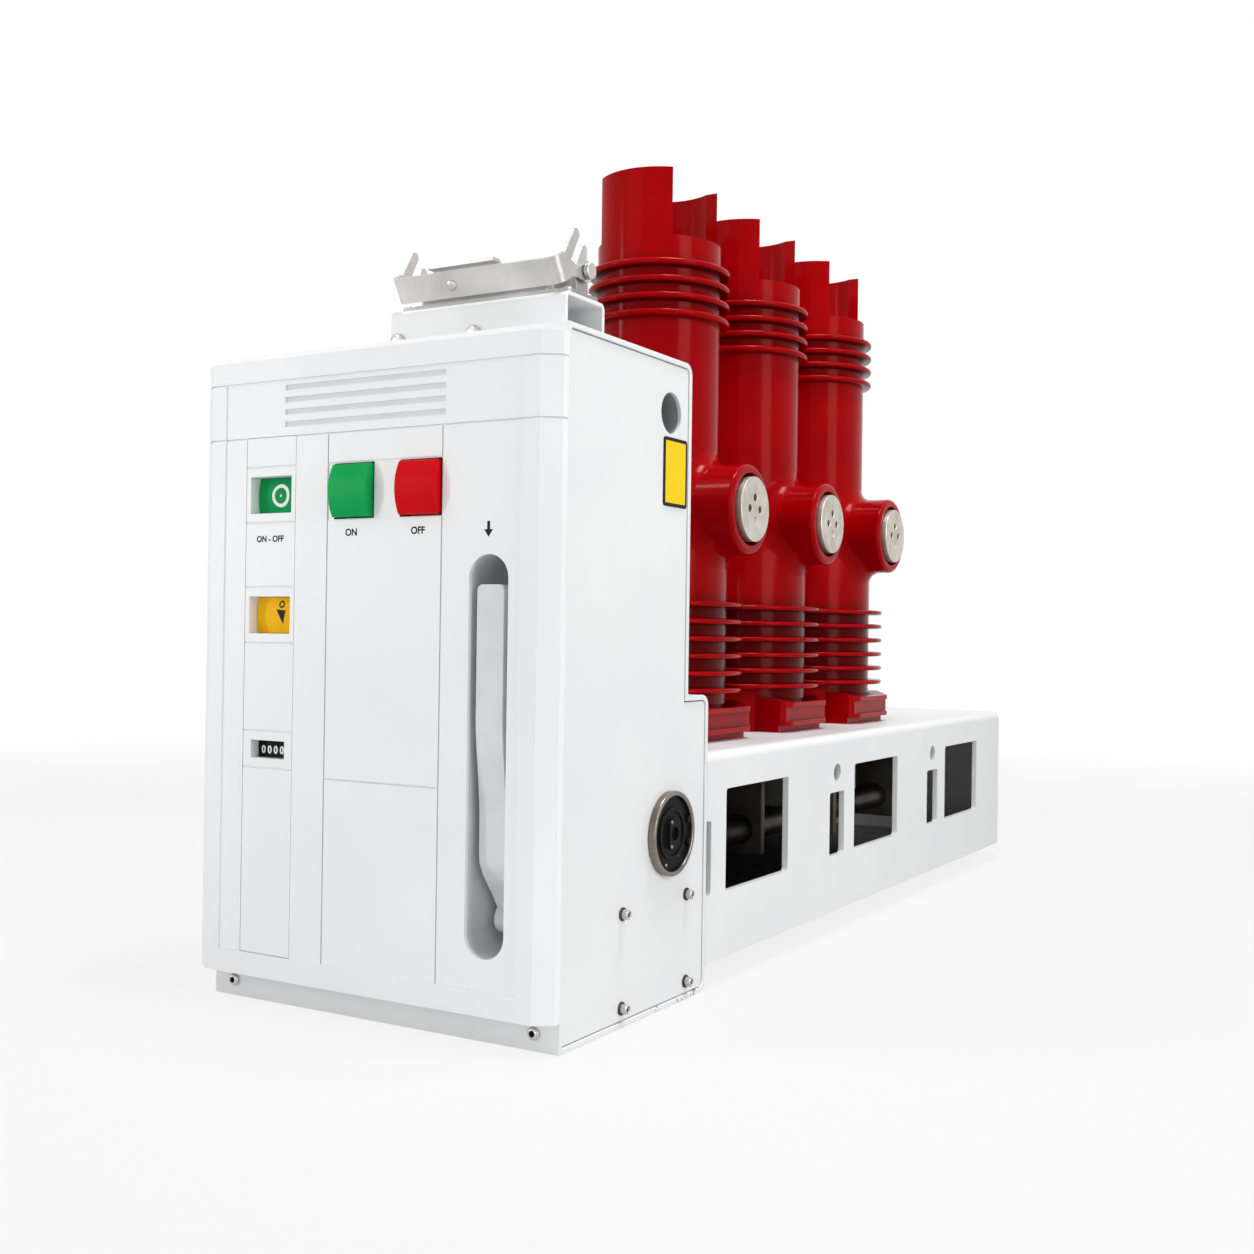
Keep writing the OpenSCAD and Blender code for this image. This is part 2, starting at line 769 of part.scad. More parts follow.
module trip_button() {
    color("crimson") push_button(trip_x);
}

module handle_pocket() {
    back_y = cover_front_y + pocket_d;
    color("gainsboro") translate([slot_x, 0, 0]) difference() {
        along_y(cover_back_y, back_y + pocket_t - cover_back_y)
            slot_outline(slot_w + 2 * pocket_t, slot_low_z - pocket_t, slot_high_z + pocket_t);
        along_y(cover_back_y - overrun, back_y - cover_back_y + overrun)
            slot_outline(slot_w, slot_low_z, slot_high_z);
        translate([0, pivot_y, pivot_z])
            bar_x(-slot_w / 2 - pocket_t - overrun, slot_w + 2 * (pocket_t + overrun), handle_pin_r);
    }
}

module handle_pin() {
    length = slot_w + 2 * pocket_t;
    color("dimgray") translate([slot_x, pivot_y, pivot_z]) bar_x(-length / 2, length, handle_pin_r);
}

// Depth of the handle's middle behind the cover face at a share of its length
function handle_depth(t) = handle_front_d
    + middle_set * (1 - between(t, middle_bend_shares))
    + pivot_set * (1 - between(t, pivot_bend_shares));

function handle_edge(side) = [for (i = [0 : handle_steps]) let(t = i / handle_steps)
    [cover_front_y + handle_depth(t) + side * handle_t / 2,
        pivot_z + t * (handle_top_z - pivot_z)]];

module charging_handle() {
    near = handle_edge(-1);
    far = handle_edge(1);
    color("gainsboro") translate([slot_x, 0, 0]) difference() {
        union() {
            intersection() {
                along_x(-handle_w / 2, handle_w)
                    polygon(concat(near, [for (i = [handle_steps : -1 : 0]) far[i]]));
                along_y(cover_front_y - overrun, pocket_d + overrun)
                    round_rect(handle_w, pivot_z - handle_w, handle_top_z, handle_corner_r);
            }
            translate([0, pivot_y, pivot_z]) bar_x(-handle_w / 2, handle_w, hub_r);
        }
        translate([0, pivot_y, pivot_z])
            bar_x(-handle_w / 2 - overrun, handle_w + 2 * overrun, handle_pin_r + pin_gap);
    }
}

// Folded bracket: a top and two walls on turned-out feet
module connector_bracket() {
    color("whitesmoke") translate([0, bracket_y, enclosure_h])
        along_x(connector_x - bracket_shift - bracket_l / 2, bracket_l) {
            difference() {
                top_rounded(0, bracket_d, 0, bracket_h, bracket_bend_r);
                top_rounded(bracket_t, bracket_d - bracket_t, -overrun, bracket_h - bracket_t,
                    bracket_bend_r - bracket_t);
            }
            for (y = [-bracket_foot_w, bracket_d - bracket_t]) translate([y, 0])
                square([bracket_foot_w + bracket_t, bracket_t]);
        }
}

// Flange, open housing and the lugs that carry the bail
module connector_base() {
    color("silver") translate([connector_x, connector_y, flange_z]) difference() {
        union() {
            linear_extrude(flange_t) round_rect(flange_l, -flange_d / 2, flange_d / 2, housing_corner_r);
            linear_extrude(flange_t + housing_h)
                round_rect(housing_l, -housing_d / 2, housing_d / 2, housing_corner_r);
            for (x = [-lug_x - lug_t, lug_x])
                along_lug(x);
        }
        translate([0, 0, flange_t]) linear_extrude(housing_h + overrun)
            round_rect(housing_l - 2 * housing_wall, housing_wall - housing_d / 2,
                housing_d / 2 - housing_wall, housing_corner_r - housing_wall);
        translate([0, bail_pivot_back, flange_t + bail_pivot_h])
            bar_x(-bracket_l, 2 * bracket_l, bail_pin_r);
    }
}

// One upright lug with a round top
module along_lug(x) {
    along_x(x, lug_t) {
        translate([bail_pivot_back - lug_w / 2, 0]) square([lug_w, flange_t + bail_pivot_h]);
        translate([bail_pivot_back, flange_t + bail_pivot_h]) circle(d = lug_w);
    }
}

module connector_insert() {
    color("black") translate([connector_x, connector_y, flange_top_z])
        linear_extrude(insert_h) {
            margin = housing_wall + seat_gap;
            round_rect(housing_l - 2 * margin, margin - housing_d / 2, housing_d / 2 - margin,
                housing_corner_r - margin);
        }
}

// Two headed pins, each from its lug through a bail arm
module bail_pins() {
    inner_x = lug_x;
    head_x = bail_half_l + bail_t + pin_gap;
    color("silver") translate([connector_x, bail_y, bail_z]) for (side = [0, 1]) mirror([side, 0, 0]) {
        bar_x(inner_x, head_x - inner_x, bail_pin_r);
        bar_x(head_x, pin_head_l, pin_head_r);
    }
}

function turned(v, a) = [v[0] * cos(a) - v[1] * sin(a), v[0] * sin(a) + v[1] * cos(a)];

// Two circles and the tapered bar between them
module tapered_bar(c0, r0, c1, r1) {
    u = (c1 - c0) / norm(c1 - c0);
    a = acos((r0 - r1) / norm(c1 - c0));
    translate(c0) circle(r = r0);
    translate(c1) circle(r = r1);
    side0 = r0 - arm_inset;
    side1 = r1 - arm_inset;
    polygon([c0 + side0 * turned(u, a), c1 + side1 * turned(u, a),
        c1 + side1 * turned(u, -a), c0 + side0 * turned(u, -a)]);
}

// A place on the side of the bail's band, from the foot of its strip
function on_band(back, up) = [-bail_reach, -bail_strip_drop] + turned([back, up], bail_lean);

// Side view of a bail arm about its pivot: web behind the bent corner, hub, front ear and rear ear
module bail_arm_outline() {
    margin = bail_t / 2;
    front = bail_corner_r + margin;
    ear_root = on_band(front + ear_root_r, bail_strip_h - ear_root_r - pin_gap);
    rear_root = [-rear_root_set, 0];
    circle(r = bail_hub_r);
    polygon([on_band(front, margin), on_band(front, bail_strip_h - margin), ear_root,
        rear_root, [0, -bail_hub_r / 2]]);
    tapered_bar(ear_root, ear_root_r, [-bail_ear_set, bail_ear_h - bail_ear_r], bail_ear_r);
    tapered_bar(rear_root, rear_root_r, [-rear_ear_set, rear_ear_h - rear_ear_r], rear_ear_r);
}

// Plan of the bail's strip and of its two round corners
module bail_band_plan(half, y0, r) {
    intersection() {
        translate([-half, y0]) square([2 * half, bail_corner_l - y0]);
        union() {
            translate([r - half, y0]) square([2 * (half - r), bail_corner_l - y0]);
            translate([-half, y0 + r]) square([2 * half, bail_corner_l - y0 - r]);
            for (x = [r - half, half - r]) translate([x, y0 + r]) circle(r = r);
        }
    }
}

// Side view of the finger lip, bent forward from the top of the strip
module tongue_outline() {
    function bent(r, a) = [-bail_t - tongue_bend_r + r * cos(a), bail_strip_h + r * sin(a)];
    outer_r = tongue_bend_r + bail_t;
    flat = tongue_d * turned([0, 1], tongue_bend);
    angles = [for (k = [0 : tongue_steps]) tongue_bend * k / tongue_steps];
    polygon(concat([[0, bail_strip_h - bail_t]], [for (a = angles) bent(outer_r, a)],
        [bent(outer_r, tongue_bend) + flat, bent(tongue_bend_r, tongue_bend) + flat],
        [for (k = [tongue_steps : -1 : 0]) bent(tongue_bend_r, angles[k])],
        [[-bail_t, bail_strip_h - bail_t]]));
}

module connector_bail() {
    color("silver") translate([connector_x, bail_y, bail_z]) difference() {
        union() {
            for (x = [-bail_half_l - bail_t, bail_half_l])
                along_x(x + arm_inset, bail_t - 2 * arm_inset) bail_arm_outline();
            translate([0, -bail_reach, -bail_strip_drop]) rotate([bail_lean, 0, 0]) {
                linear_extrude(bail_strip_h) difference() {
                    bail_band_plan(bail_half_l + bail_t, -bail_t, bail_corner_r);
                    translate([0, overrun]) bail_band_plan(bail_half_l, -overrun, bail_corner_r - bail_t);
                }
                along_x(-tongue_shift - tongue_w / 2, tongue_w) tongue_outline();
            }
        }
        bar_x(-bracket_l, 2 * bracket_l, bail_pin_r + pin_gap);
    }
}

module coupling_rim() {
    color("dimgray") translate([0, coupling_y, coupling_z]) difference() {
        bar_x(coupling_x, coupling_proud, coupling_r);
        bar_x(coupling_x - overrun, coupling_proud + 2 * overrun, coupling_r - coupling_wall);
    }
}

// Disc with a raised boss that has two flats and a centre hole
module coupling_hub() {
    color("black") translate([0, coupling_y, coupling_z]) difference() {
        union() {
            bar_x(coupling_x, coupling_disc_t, coupling_r - coupling_wall - seat_gap);
            intersection() {
                bar_x(coupling_x, coupling_proud, coupling_boss_r);
                translate([coupling_x, -coupling_boss_r * coupling_flat_share, -coupling_boss_r])
                    cube([coupling_proud, 2 * coupling_boss_r * coupling_flat_share, 2 * coupling_boss_r]);
            }
        }
        bar_x(coupling_x + coupling_disc_t, coupling_proud, coupling_hole_r);
    }
}

// Cross-section of the beam with rounded top folds, set in by a wall
module beam_outline(inset, low) {
    top_rounded(beam_low_x + inset, beam_high_x - inset, low, beam_top_z - inset, beam_fold_r - inset);
}

module pole_beam() {
    cut = beam_t + 2 * overrun;
    color("whitesmoke") difference() {
        along_y(rear_y, beam_l) {
            difference() {
                beam_outline(0, beam_low_z);
                beam_outline(beam_t, beam_low_z - overrun);
            }
            for (x = [beam_low_x, beam_high_x - beam_flange_w]) translate([x, beam_low_z])
                square([beam_flange_w, beam_t]);
        }
        for (i = [0 : bay_count - 1]) translate([0, bay_y(i), bay_low_z]) {
            along_x(beam_high_x - beam_t - overrun, cut) {
                translate([bay_w / 2, 0]) round_rect(bay_w, 0, bay_h, bay_corner_r);
                translate([-slit_gap - slit_w / 2, 0]) round_rect(slit_w, 0, slit_h, bay_corner_r);
                translate([-slit_gap - slit_w / 2, slit_h + slit_hole_rise]) circle(r = slit_hole_r);
            }
        }
        for (i = [0 : pole_count - 1])
            translate([pole_x, pole_y(i), beam_top_z - beam_t - overrun])
                cylinder(h = cut, r = rod_hole_r);
    }
}

// Plate that lies on the beam's lower flanges
module beam_base_plate() {
    margin = beam_t + seat_gap;
    color("whitesmoke") translate([beam_low_x + margin, rear_y, beam_low_z + beam_t])
        cube([beam_w - 2 * margin, beam_l - margin, base_plate_t]);
}

module beam_end_plate() {
    color("whitesmoke") along_y(rear_y + beam_l - beam_t, beam_t)
        beam_outline(beam_t + seat_gap, beam_low_z + beam_t + seat_gap);
}

// Half section of one shed with a round rim, thicker at its root
module shed_section(z, r, t, root) {
    half = t / 2;
    polygon([[0, z - half - shed_draft], [root, z - half - shed_draft], [r - half, z - half],
        [r - half, z + half], [root, z + half + shed_draft], [0, z + half + shed_draft]]);
    translate([r - half, z]) circle(d = t);
}

// Half section of the column and its sheds
module column_section() {
    polygon([[0, 0], [lower_r, 0], [lower_r, contact_z - taper_h / 2],
        [upper_r, contact_z + taper_h / 2], [upper_r, pole_h], [0, pole_h]]);
    for (i = [0 : upper_shed_count - 1])
        shed_section(upper_shed_z - i * upper_shed_pitch, upper_shed_r, upper_shed_t, upper_r);
    for (i = [0 : lower_shed_count - 1])
        shed_section(lower_shed_top - i * lower_shed_pitch, lower_shed_r, lower_shed_t, lower_r);
}

// Half section of the contact arm with its round rim
module arm_section() {
    square([arm_r - arm_rim_r, arm_reach]);
    square([arm_r, arm_reach - arm_rim_r]);
    translate([arm_r - arm_rim_r, arm_reach - arm_rim_r]) circle(r = arm_rim_r);
}

// Radius of the column at a height in its taper
function column_r(z) = upper_r + (lower_r - upper_r)
    * min(1, max(0, (contact_z + taper_h / 2 - z) / taper_h));

// Distance from the pole's axis at which a line along the arm meets the column
function column_x(r, a) = sqrt(max(0, pow(column_r(contact_z + r * sin(a)), 2) - pow(r * cos(a), 2)));

// Distance from the arm's axis at which the fillet ends on the column
function fillet_end_r(a) = let(slope = arm_r * pow(cos(a), 2) / column_x(arm_r, a))
    min(arm_r + fillet_l / sqrt(1 + slope * slope), fillet_limit_share * column_r(contact_z) / abs(cos(a)));

// A point of the fillet at an angle round the arm and a share of the way from the arm to the column
function fillet_point(a, t) = let(
        corner = [column_x(arm_r, a), arm_r],
        start = [corner[0] + fillet_l, arm_r - fillet_sink],
        end = [column_x(fillet_end_r(a), a) - fillet_sink, fillet_end_r(a)],
        p = (1 - t) * (1 - t) * start + 2 * t * (1 - t) * corner + t * t * end)
    [p[0], p[1] * cos(a), p[1] * sin(a)];

// Collar that blends the arm into the column
module arm_fillet() {
    row = fillet_steps + 1;
    last = fillet_turns * row;
    function at(i, j) = (i % fillet_turns) * row + j;
    points = concat([for (i = [0 : fillet_turns - 1], j = [0 : fillet_steps])
        fillet_point(360 * i / fillet_turns, j / fillet_steps)], [[upper_r + fillet_l, 0, 0], [0, 0, 0]]);
    faces = concat(
        [for (i = [0 : fillet_turns - 1], j = [0 : fillet_steps - 1]) [at(i, j), at(i + 1, j), at(i, j + 1)]],
        [for (i = [0 : fillet_turns - 1], j = [0 : fillet_steps - 1])
            [at(i + 1, j), at(i + 1, j + 1), at(i, j + 1)]],
        [for (i = [0 : fillet_turns - 1]) [last, at(i + 1, 0), at(i, 0)]],
        [for (i = [0 : fillet_turns - 1]) [last + 1, at(i, fillet_steps), at(i + 1, fillet_steps)]]);
    polyhedron(points = points, faces = faces);
}

module contact_arm() {
    translate([0, 0, contact_z]) {
        rotate([0, 90, 0]) rotate_extrude() arm_section();
        arm_fillet();
    }
}

// Side view of one half of the foot: set-back base, two lips, the wall between them and a falling top
module foot_outline() {
    base = foot_reach - base_set;
    wall = foot_reach - lip_d;
    high = high_lip_z + lip_t;
    fall = [for (i = [0 : foot_steps]) let(t = i / foot_steps)
        [foot_reach - t * foot_fall_l, high + ease(t) * (foot_h - high)]];
    polygon(concat([[0, 0], [base, 0], [base, low_lip_z], [foot_reach, low_lip_z],
        [foot_reach, low_lip_z + lip_t], [wall, low_lip_z + lip_t], [wall, high_lip_z],
        [foot_reach, high_lip_z]], fall, [[0, foot_h]]));
}

// One moulded pole about its own axis, standing at z = 0
module pole_body() {
    difference() {
        union() {
            rotate_extrude() column_section();
            contact_arm();
            intersection() {
                for (side = [0, 1]) mirror([side, 0, 0]) along_y(-foot_w / 2, foot_w) foot_outline();
                linear_extrude(foot_h) round_rect(2 * foot_reach, -foot_w / 2, foot_w / 2, foot_corner_r);
            }
        }
        translate([0, 0, top_floor_z]) cylinder(h = pole_h, r = upper_r - cheek_wall);
        translate([-2 * upper_r, -cheek_gap / 2, cheek_low_z]) cube([4 * upper_r, cheek_gap, pole_h]);
        translate([0, 0, contact_z]) bar_x(pad_x, arm_reach, pad_r + pad_ring);
        translate([0, 0, -overrun]) cylinder(h = rod_hole_d + overrun, r = rod_hole_r);
    }
}

module on_pole(i) {
    translate([pole_x, pole_y(i), beam_top_z]) children();
}

// A round contact with a ring of blind fixing holes in its outer face, along +z
module contact_pad(length) {
    difference() {
        cylinder(h = length, r = pad_r);
        for (k = [0 : pad_hole_count - 1]) rotate(360 * k / pad_hole_count)
            translate([pad_hole_circle_r, 0, length - pad_hole_d])
                cylinder(h = pad_hole_d + overrun, r = pad_hole_r);
    }
}

module pole(i) {
    color("firebrick") on_pole(i) pole_body();
}

module lower_contact(i) {
    color("lightgray") on_pole(i) translate([pad_x, 0, contact_z]) rotate([0, 90, 0]) contact_pad(pad_l);
}

module upper_contact(i) {
    color("lightgray") on_pole(i) translate([0, 0, top_floor_z]) contact_pad(upper_pad_h);
}

// Shaft along the beam with a crank under each pole
module drive_shaft() {
    color("dimgray") translate([0, 0, shaft_z]) {
        translate([shaft_x, 0, 0]) bar_y(rear_y, shaft_end_y - rear_y, shaft_r);
        for (i = [0 : pole_count - 1]) along_y(pole_y(i) - crank_t / 2, crank_t) difference() {
            union() {
                translate([pole_x, -eye_r]) square([shaft_offset, 2 * eye_r]);
                translate([pole_x, 0]) circle(r = eye_r);
            }
            translate([pole_x, 0]) circle(r = drive_pin_r + pin_gap);
        }
    }
}

// Plates that hang from the beam and carry the shaft
module shaft_hangers() {
    low_z = shaft_z - hanger_w / 2;
    color("darkgoldenrod") for (i = [0 : pole_count])
        translate([shaft_x, pole_y(i) - pole_pitch / 2 - hanger_t / 2, 0]) difference() {
            translate([-hanger_w / 2, 0, low_z]) cube([hanger_w, hanger_t, beam_top_z - beam_t - low_z]);
            translate([0, 0, shaft_z]) bar_y(-overrun, hanger_t + 2 * overrun, shaft_r + pin_gap);
        }
}

// Insulated rod with a fork that is pinned to its crank
module pull_rod(i) {
    half = crank_t / 2 + fork_gap;
    color("sandybrown") translate([pole_x, pole_y(i), shaft_z]) {
        for (y = [-half - fork_t, half]) translate([-eye_r, y, -eye_r])
            cube([2 * eye_r, fork_t, eye_r + fork_h]);
        translate([-eye_r, -half - fork_t, eye_r + fork_gap])
            cube([2 * eye_r, 2 * (half + fork_t), fork_h - eye_r - fork_gap]);
        bar_y(-half - fork_t, 2 * (half + fork_t), drive_pin_r);
        translate([0, 0, fork_h]) cylinder(h = rod_top_z - shaft_z - fork_h, r = rod_r);
    }
}

enclosure_wrap();
front_plate();
side_plate_right();
side_plate_left();
front_cover();
indicator_strip();
position_indicator();
spring_indicator();
operation_counter();
close_button();
trip_button();
handle_pocket();
handle_pin();
charging_handle();
connector_bracket();
connector_base();
connector_insert();
bail_pins();
connector_bail();
coupling_rim();
coupling_hub();
pole_beam();
beam_end_plate();
beam_base_plate();
pole(0);  // pole_1
pole(1);  // pole_2
pole(2);  // pole_3
lower_contact(0);  // lower_contact_1
lower_contact(1);  // lower_contact_2
lower_contact(2);  // lower_contact_3
upper_contact(0);  // upper_contact_1
upper_contact(1);  // upper_contact_2
upper_contact(2);  // upper_contact_3
drive_shaft();
shaft_hangers();
pull_rod(0);  // pull_rod_1
pull_rod(1);  // pull_rod_2
pull_rod(2);  // pull_rod_3
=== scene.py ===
import json
import math

import bmesh
import bpy
from mathutils import Matrix, Vector


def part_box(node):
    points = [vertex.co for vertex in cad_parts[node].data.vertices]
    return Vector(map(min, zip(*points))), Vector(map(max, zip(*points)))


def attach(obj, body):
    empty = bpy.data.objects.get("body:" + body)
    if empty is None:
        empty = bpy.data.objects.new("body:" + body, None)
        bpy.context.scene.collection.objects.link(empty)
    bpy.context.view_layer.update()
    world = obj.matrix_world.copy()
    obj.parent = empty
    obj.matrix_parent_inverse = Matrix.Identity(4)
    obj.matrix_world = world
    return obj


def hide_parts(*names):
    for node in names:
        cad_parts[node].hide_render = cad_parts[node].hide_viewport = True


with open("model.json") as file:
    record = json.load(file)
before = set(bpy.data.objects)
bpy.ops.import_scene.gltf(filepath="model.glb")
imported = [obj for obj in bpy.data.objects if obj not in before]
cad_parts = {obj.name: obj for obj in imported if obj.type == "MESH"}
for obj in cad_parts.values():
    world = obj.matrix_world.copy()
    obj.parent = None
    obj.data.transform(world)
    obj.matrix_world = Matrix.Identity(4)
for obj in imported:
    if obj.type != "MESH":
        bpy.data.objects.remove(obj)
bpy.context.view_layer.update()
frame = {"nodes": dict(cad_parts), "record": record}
nodes = frame["nodes"]
mm = 0.001


# small helpers for finishes

noiseSpan = {"From Min": 0.25, "From Max": 0.75}  # nearly all of a noise pattern lies in this range


def linear(hexText):
    channels = [int(hexText[i:i + 2], 16) / 255 for i in (1, 3, 5)]
    return [c / 12.92 if c < 0.04045 else ((c + 0.055) / 1.055) ** 2.4 for c in channels] + [1.0]


def addNode(tree, kind, inputs=None, **settings):
    # an input is a plain value, or an output of another node to link from
    node = tree.nodes.new("ShaderNode" + kind)
    for key, value in settings.items():
        setattr(node, key, value)
    for key, value in (inputs or {}).items():
        if isinstance(value, bpy.types.NodeSocket):
            tree.links.new(value, node.inputs[key])
        else:
            node.inputs[key].default_value = value
    return node.outputs


def newFinish(name, sockets):
    finish = bpy.data.materials.new(name)
    finish.use_nodes = True
    tree = finish.node_tree
    shader = tree.nodes["Principled BSDF"]
    for key, value in sockets.items():
        shader.inputs[key].default_value = value
    coords = addNode(tree, "TexCoord")["Object"]
    return finish, tree, shader, coords


def perMetre(sizeMm):
    # texture scale that gives features of this size
    return 1 / (sizeMm * mm)


def twoTones(tree, pattern, low, high, lowHex, highHex):
    # goes from one shade to the other as the pattern climbs from low to high
    share = addNode(tree, "MapRange", {"Value": pattern, "From Min": low, "From Max": high})["Result"]
    return addNode(tree, "Mix", {
        "Factor": share, "A": linear(lowHex), "B": linear(highHex)}, data_type="RGBA")["Result"]


def giveSurface(tree, shader, gloss, smooth, matt, relief, depthMm, strength):
    # roughness follows one pattern from smooth to matt, and a fine relief follows another
    rough = addNode(tree, "MapRange", {"Value": gloss, "To Min": smooth, "To Max": matt, **noiseSpan})
    bump = addNode(tree, "Bump", {"Height": relief, "Distance": depthMm * mm, "Strength": strength})
    tree.links.new(rough["Result"], shader.inputs["Roughness"])
    tree.links.new(bump["Normal"], shader.inputs["Normal"])


def creaseShade(tree, colour, shadeHex, reachMm, amount):
    # painted shade: seams, corners and recesses are darkened by how closed in they are
    clear = addNode(tree, "AmbientOcclusion", {"Distance": reachMm * mm}, samples=6, only_local=True)["AO"]
    share = addNode(tree, "MapRange", {
        "Value": clear, "From Min": 0.25, "From Max": 0.85, "To Min": amount, "To Max": 0.0})["Result"]
    return addNode(tree, "Mix", {
        "Factor": share, "A": colour, "B": linear(shadeHex)}, data_type="RGBA")["Result"]


def edgeChips(tree, coords, colour, chipHex, highMm, behindMm, chipMm):
    # paint knocked off along the lowest edges behind the front, where the box is set down
    axes = addNode(tree, "SeparateXYZ", {"Vector": coords})
    low = addNode(tree, "Math", {0: axes["Z"], 1: highMm * mm}, operation="LESS_THAN")["Value"]
    behind = addNode(tree, "Math", {0: axes["Y"], 1: behindMm * mm}, operation="GREATER_THAN")["Value"]
    edge = addNode(tree, "Math", {0: low, 1: behind}, operation="MULTIPLY")["Value"]
    flakes = addNode(tree, "TexNoise", {
        "Vector": coords, "Scale": perMetre(chipMm), "Detail": 4.0, "Roughness": 0.6})["Fac"]
    bare = addNode(tree, "MapRange", {"Value": flakes, "From Min": 0.6, "From Max": 0.64})["Result"]
    share = addNode(tree, "Math", {0: edge, 1: bare}, operation="MULTIPLY")["Value"]
    return addNode(tree, "Mix", {
        "Factor": share, "A": colour, "B": linear(chipHex)}, data_type="RGBA")["Result"]


# polyester powder coat, sprayed and baked on sheet steel: satin white with a faint orange peel,
# painted shade in the seams and a few chips low down
def whitePowderCoat():
    peelMm = 3.5  # the real peel is finer than 2 mm and would not show
    finish, tree, shader, coords = newFinish("whitePowderCoat", {"IOR": 1.5})
    cloud = addNode(tree, "TexNoise", {"Vector": coords, "Scale": perMetre(140), "Detail": 3.0})["Fac"]
    tone = twoTones(tree, cloud, 0.3, 0.7, "#E0E1E2", "#E6E7E7")
    # painted shade darkens the seams and corners
    seamShaded = creaseShade(tree, tone, "#8D8B86", reachMm=4, amount=0.4)
    worn = edgeChips(tree, coords, seamShaded, "#4A423B", highMm=5, behindMm=8, chipMm=16)
    tree.links.new(worn, shader.inputs["Base Color"])
    peel = addNode(tree, "TexNoise", {"Vector": coords, "Scale": perMetre(peelMm), "Detail": 3.0})["Fac"]
    giveSurface(tree, shader, cloud, 0.36, 0.46, peel, depthMm=0.05, strength=0.35)
    return finish


# injection moulded ABS with a fine spark-eroded grain: a shade lighter and more matt than the sheet metal,
# with painted shade in its seams
def mouldedAbs():
    grainMm = 1.6  # the real grain is about 0.3 mm and would not show
    finish, tree, shader, coords = newFinish("mouldedAbs", {"IOR": 1.53})
    cloud = addNode(tree, "TexNoise", {"Vector": coords, "Scale": perMetre(180), "Detail": 2.0})["Fac"]
    tone = twoTones(tree, cloud, 0.3, 0.7, "#E8E9EA", "#EEEFF0")
    # painted shade darkens the seams
    seamShaded = creaseShade(tree, tone, "#A6A7AA", reachMm=3, amount=0.2)
    tree.links.new(seamShaded, shader.inputs["Base Color"])
    grain = addNode(tree, "TexNoise", {"Vector": coords, "Scale": perMetre(grainMm), "Detail": 2.0})["Fac"]
    giveSurface(tree, shader, grain, 0.38, 0.48, grain, depthMm=0.03, strength=0.3)
    return finish


# cast epoxy resin from a polished mould: deep red, glossy, with slow waves and a few matt patches, and
# painted shade between the sheds and under the arms
def castEpoxy():
    finish, tree, shader, coords = newFinish("castEpoxy", {
        "IOR": 1.55, "Specular IOR Level": 0.07, "Specular Tint": linear("#FFB0A8")})
    flow = addNode(tree, "TexNoise", {
        "Vector": coords, "Scale": perMetre(70), "Detail": 3.0, "Roughness": 0.6})["Fac"]
    tone = twoTones(tree, flow, 0.3, 0.7, "#8E0107", "#A00308")
    # painted shade darkens the red between the sheds and under the arms
    deep = creaseShade(tree, tone, "#240102", reachMm=26, amount=0.85)
    tree.links.new(deep, shader.inputs["Base Color"])
    haze = addNode(tree, "TexNoise", {
        "Vector": coords, "Scale": perMetre(22), "Detail": 4.0, "Roughness": 0.6})["Fac"]
    waves = addNode(tree, "TexNoise", {"Vector": coords, "Scale": perMetre(26), "Detail": 1.0})["Fac"]
    giveSurface(tree, shader, haze, 0.11, 0.19, waves, depthMm=0.25, strength=0.2)
    return finish


# silver plated copper: pale, matt, faintly brushed along its height, warmer where it has tarnished
def silverPlate():
    brushMm = 0.9  # real brush lines are finer and would not show
    finish, tree, shader, coords = newFinish("silverPlate", {"Metallic": 1.0})
    tarnish = addNode(tree, "TexNoise", {
        "Vector": coords, "Scale": perMetre(14), "Detail": 4.0, "Roughness": 0.6})["Fac"]
    tone = twoTones(tree, tarnish, 0.3, 0.62, "#B4ADA1", "#CDC8BE")
    tree.links.new(tone, shader.inputs["Base Color"])
    upright = addNode(tree, "Mapping", {"Vector": coords, "Scale": (1.0, 1.0, 0.06)})["Vector"]
    brush = addNode(tree, "TexNoise", {"Vector": upright, "Scale": perMetre(brushMm), "Detail": 3.0})["Fac"]
    giveSurface(tree, shader, brush, 0.4, 0.55, brush, depthMm=0.03, strength=0.35)
    return finish


# moulded and lightly polished plastic in one colour
def colouredPlastic(name, darkHex, lightHex, rough):
    grainMm = 2.2  # the real grain is too fine to show
    finish, tree, shader, coords = newFinish(name, {"IOR": 1.5, "Specular IOR Level": 0.05})
    grain = addNode(tree, "TexNoise", {"Vector": coords, "Scale": perMetre(grainMm), "Detail": 2.0})["Fac"]
    cloud = addNode(tree, "TexNoise", {"Vector": coords, "Scale": perMetre(24), "Detail": 2.0})["Fac"]
    tone = twoTones(tree, cloud, 0.3, 0.7, darkHex, lightHex)
    tree.links.new(tone, shader.inputs["Base Color"])
    giveSurface(tree, shader, grain, rough - 0.05, rough + 0.06, grain, depthMm=0.03, strength=0.2)
    return finish


# metal with a plated, blackened or bare surface: drawn lines, cloudy where it was handled
def platedSteel(name, darkHex, lightHex, rough, metallic):
    drawnMm = 1.2  # real drawing lines are finer and would not show
    finish, tree, shader, coords = newFinish(name, {"Metallic": metallic})
    cloud = addNode(tree, "TexNoise", {"Vector": coords, "Scale": perMetre(34), "Detail": 3.0})["Fac"]
    tone = twoTones(tree, cloud, 0.32, 0.68, darkHex, lightHex)
    tree.links.new(tone, shader.inputs["Base Color"])
    across = addNode(tree, "Mapping", {"Vector": coords, "Scale": (0.08, 1.0, 1.0)})["Vector"]
    drawn = addNode(tree, "TexNoise", {"Vector": across, "Scale": perMetre(drawnMm), "Detail": 3.0})["Fac"]
    giveSurface(tree, shader, drawn, rough - 0.07, rough + 0.09, drawn, depthMm=0.03, strength=0.25)
    return finish
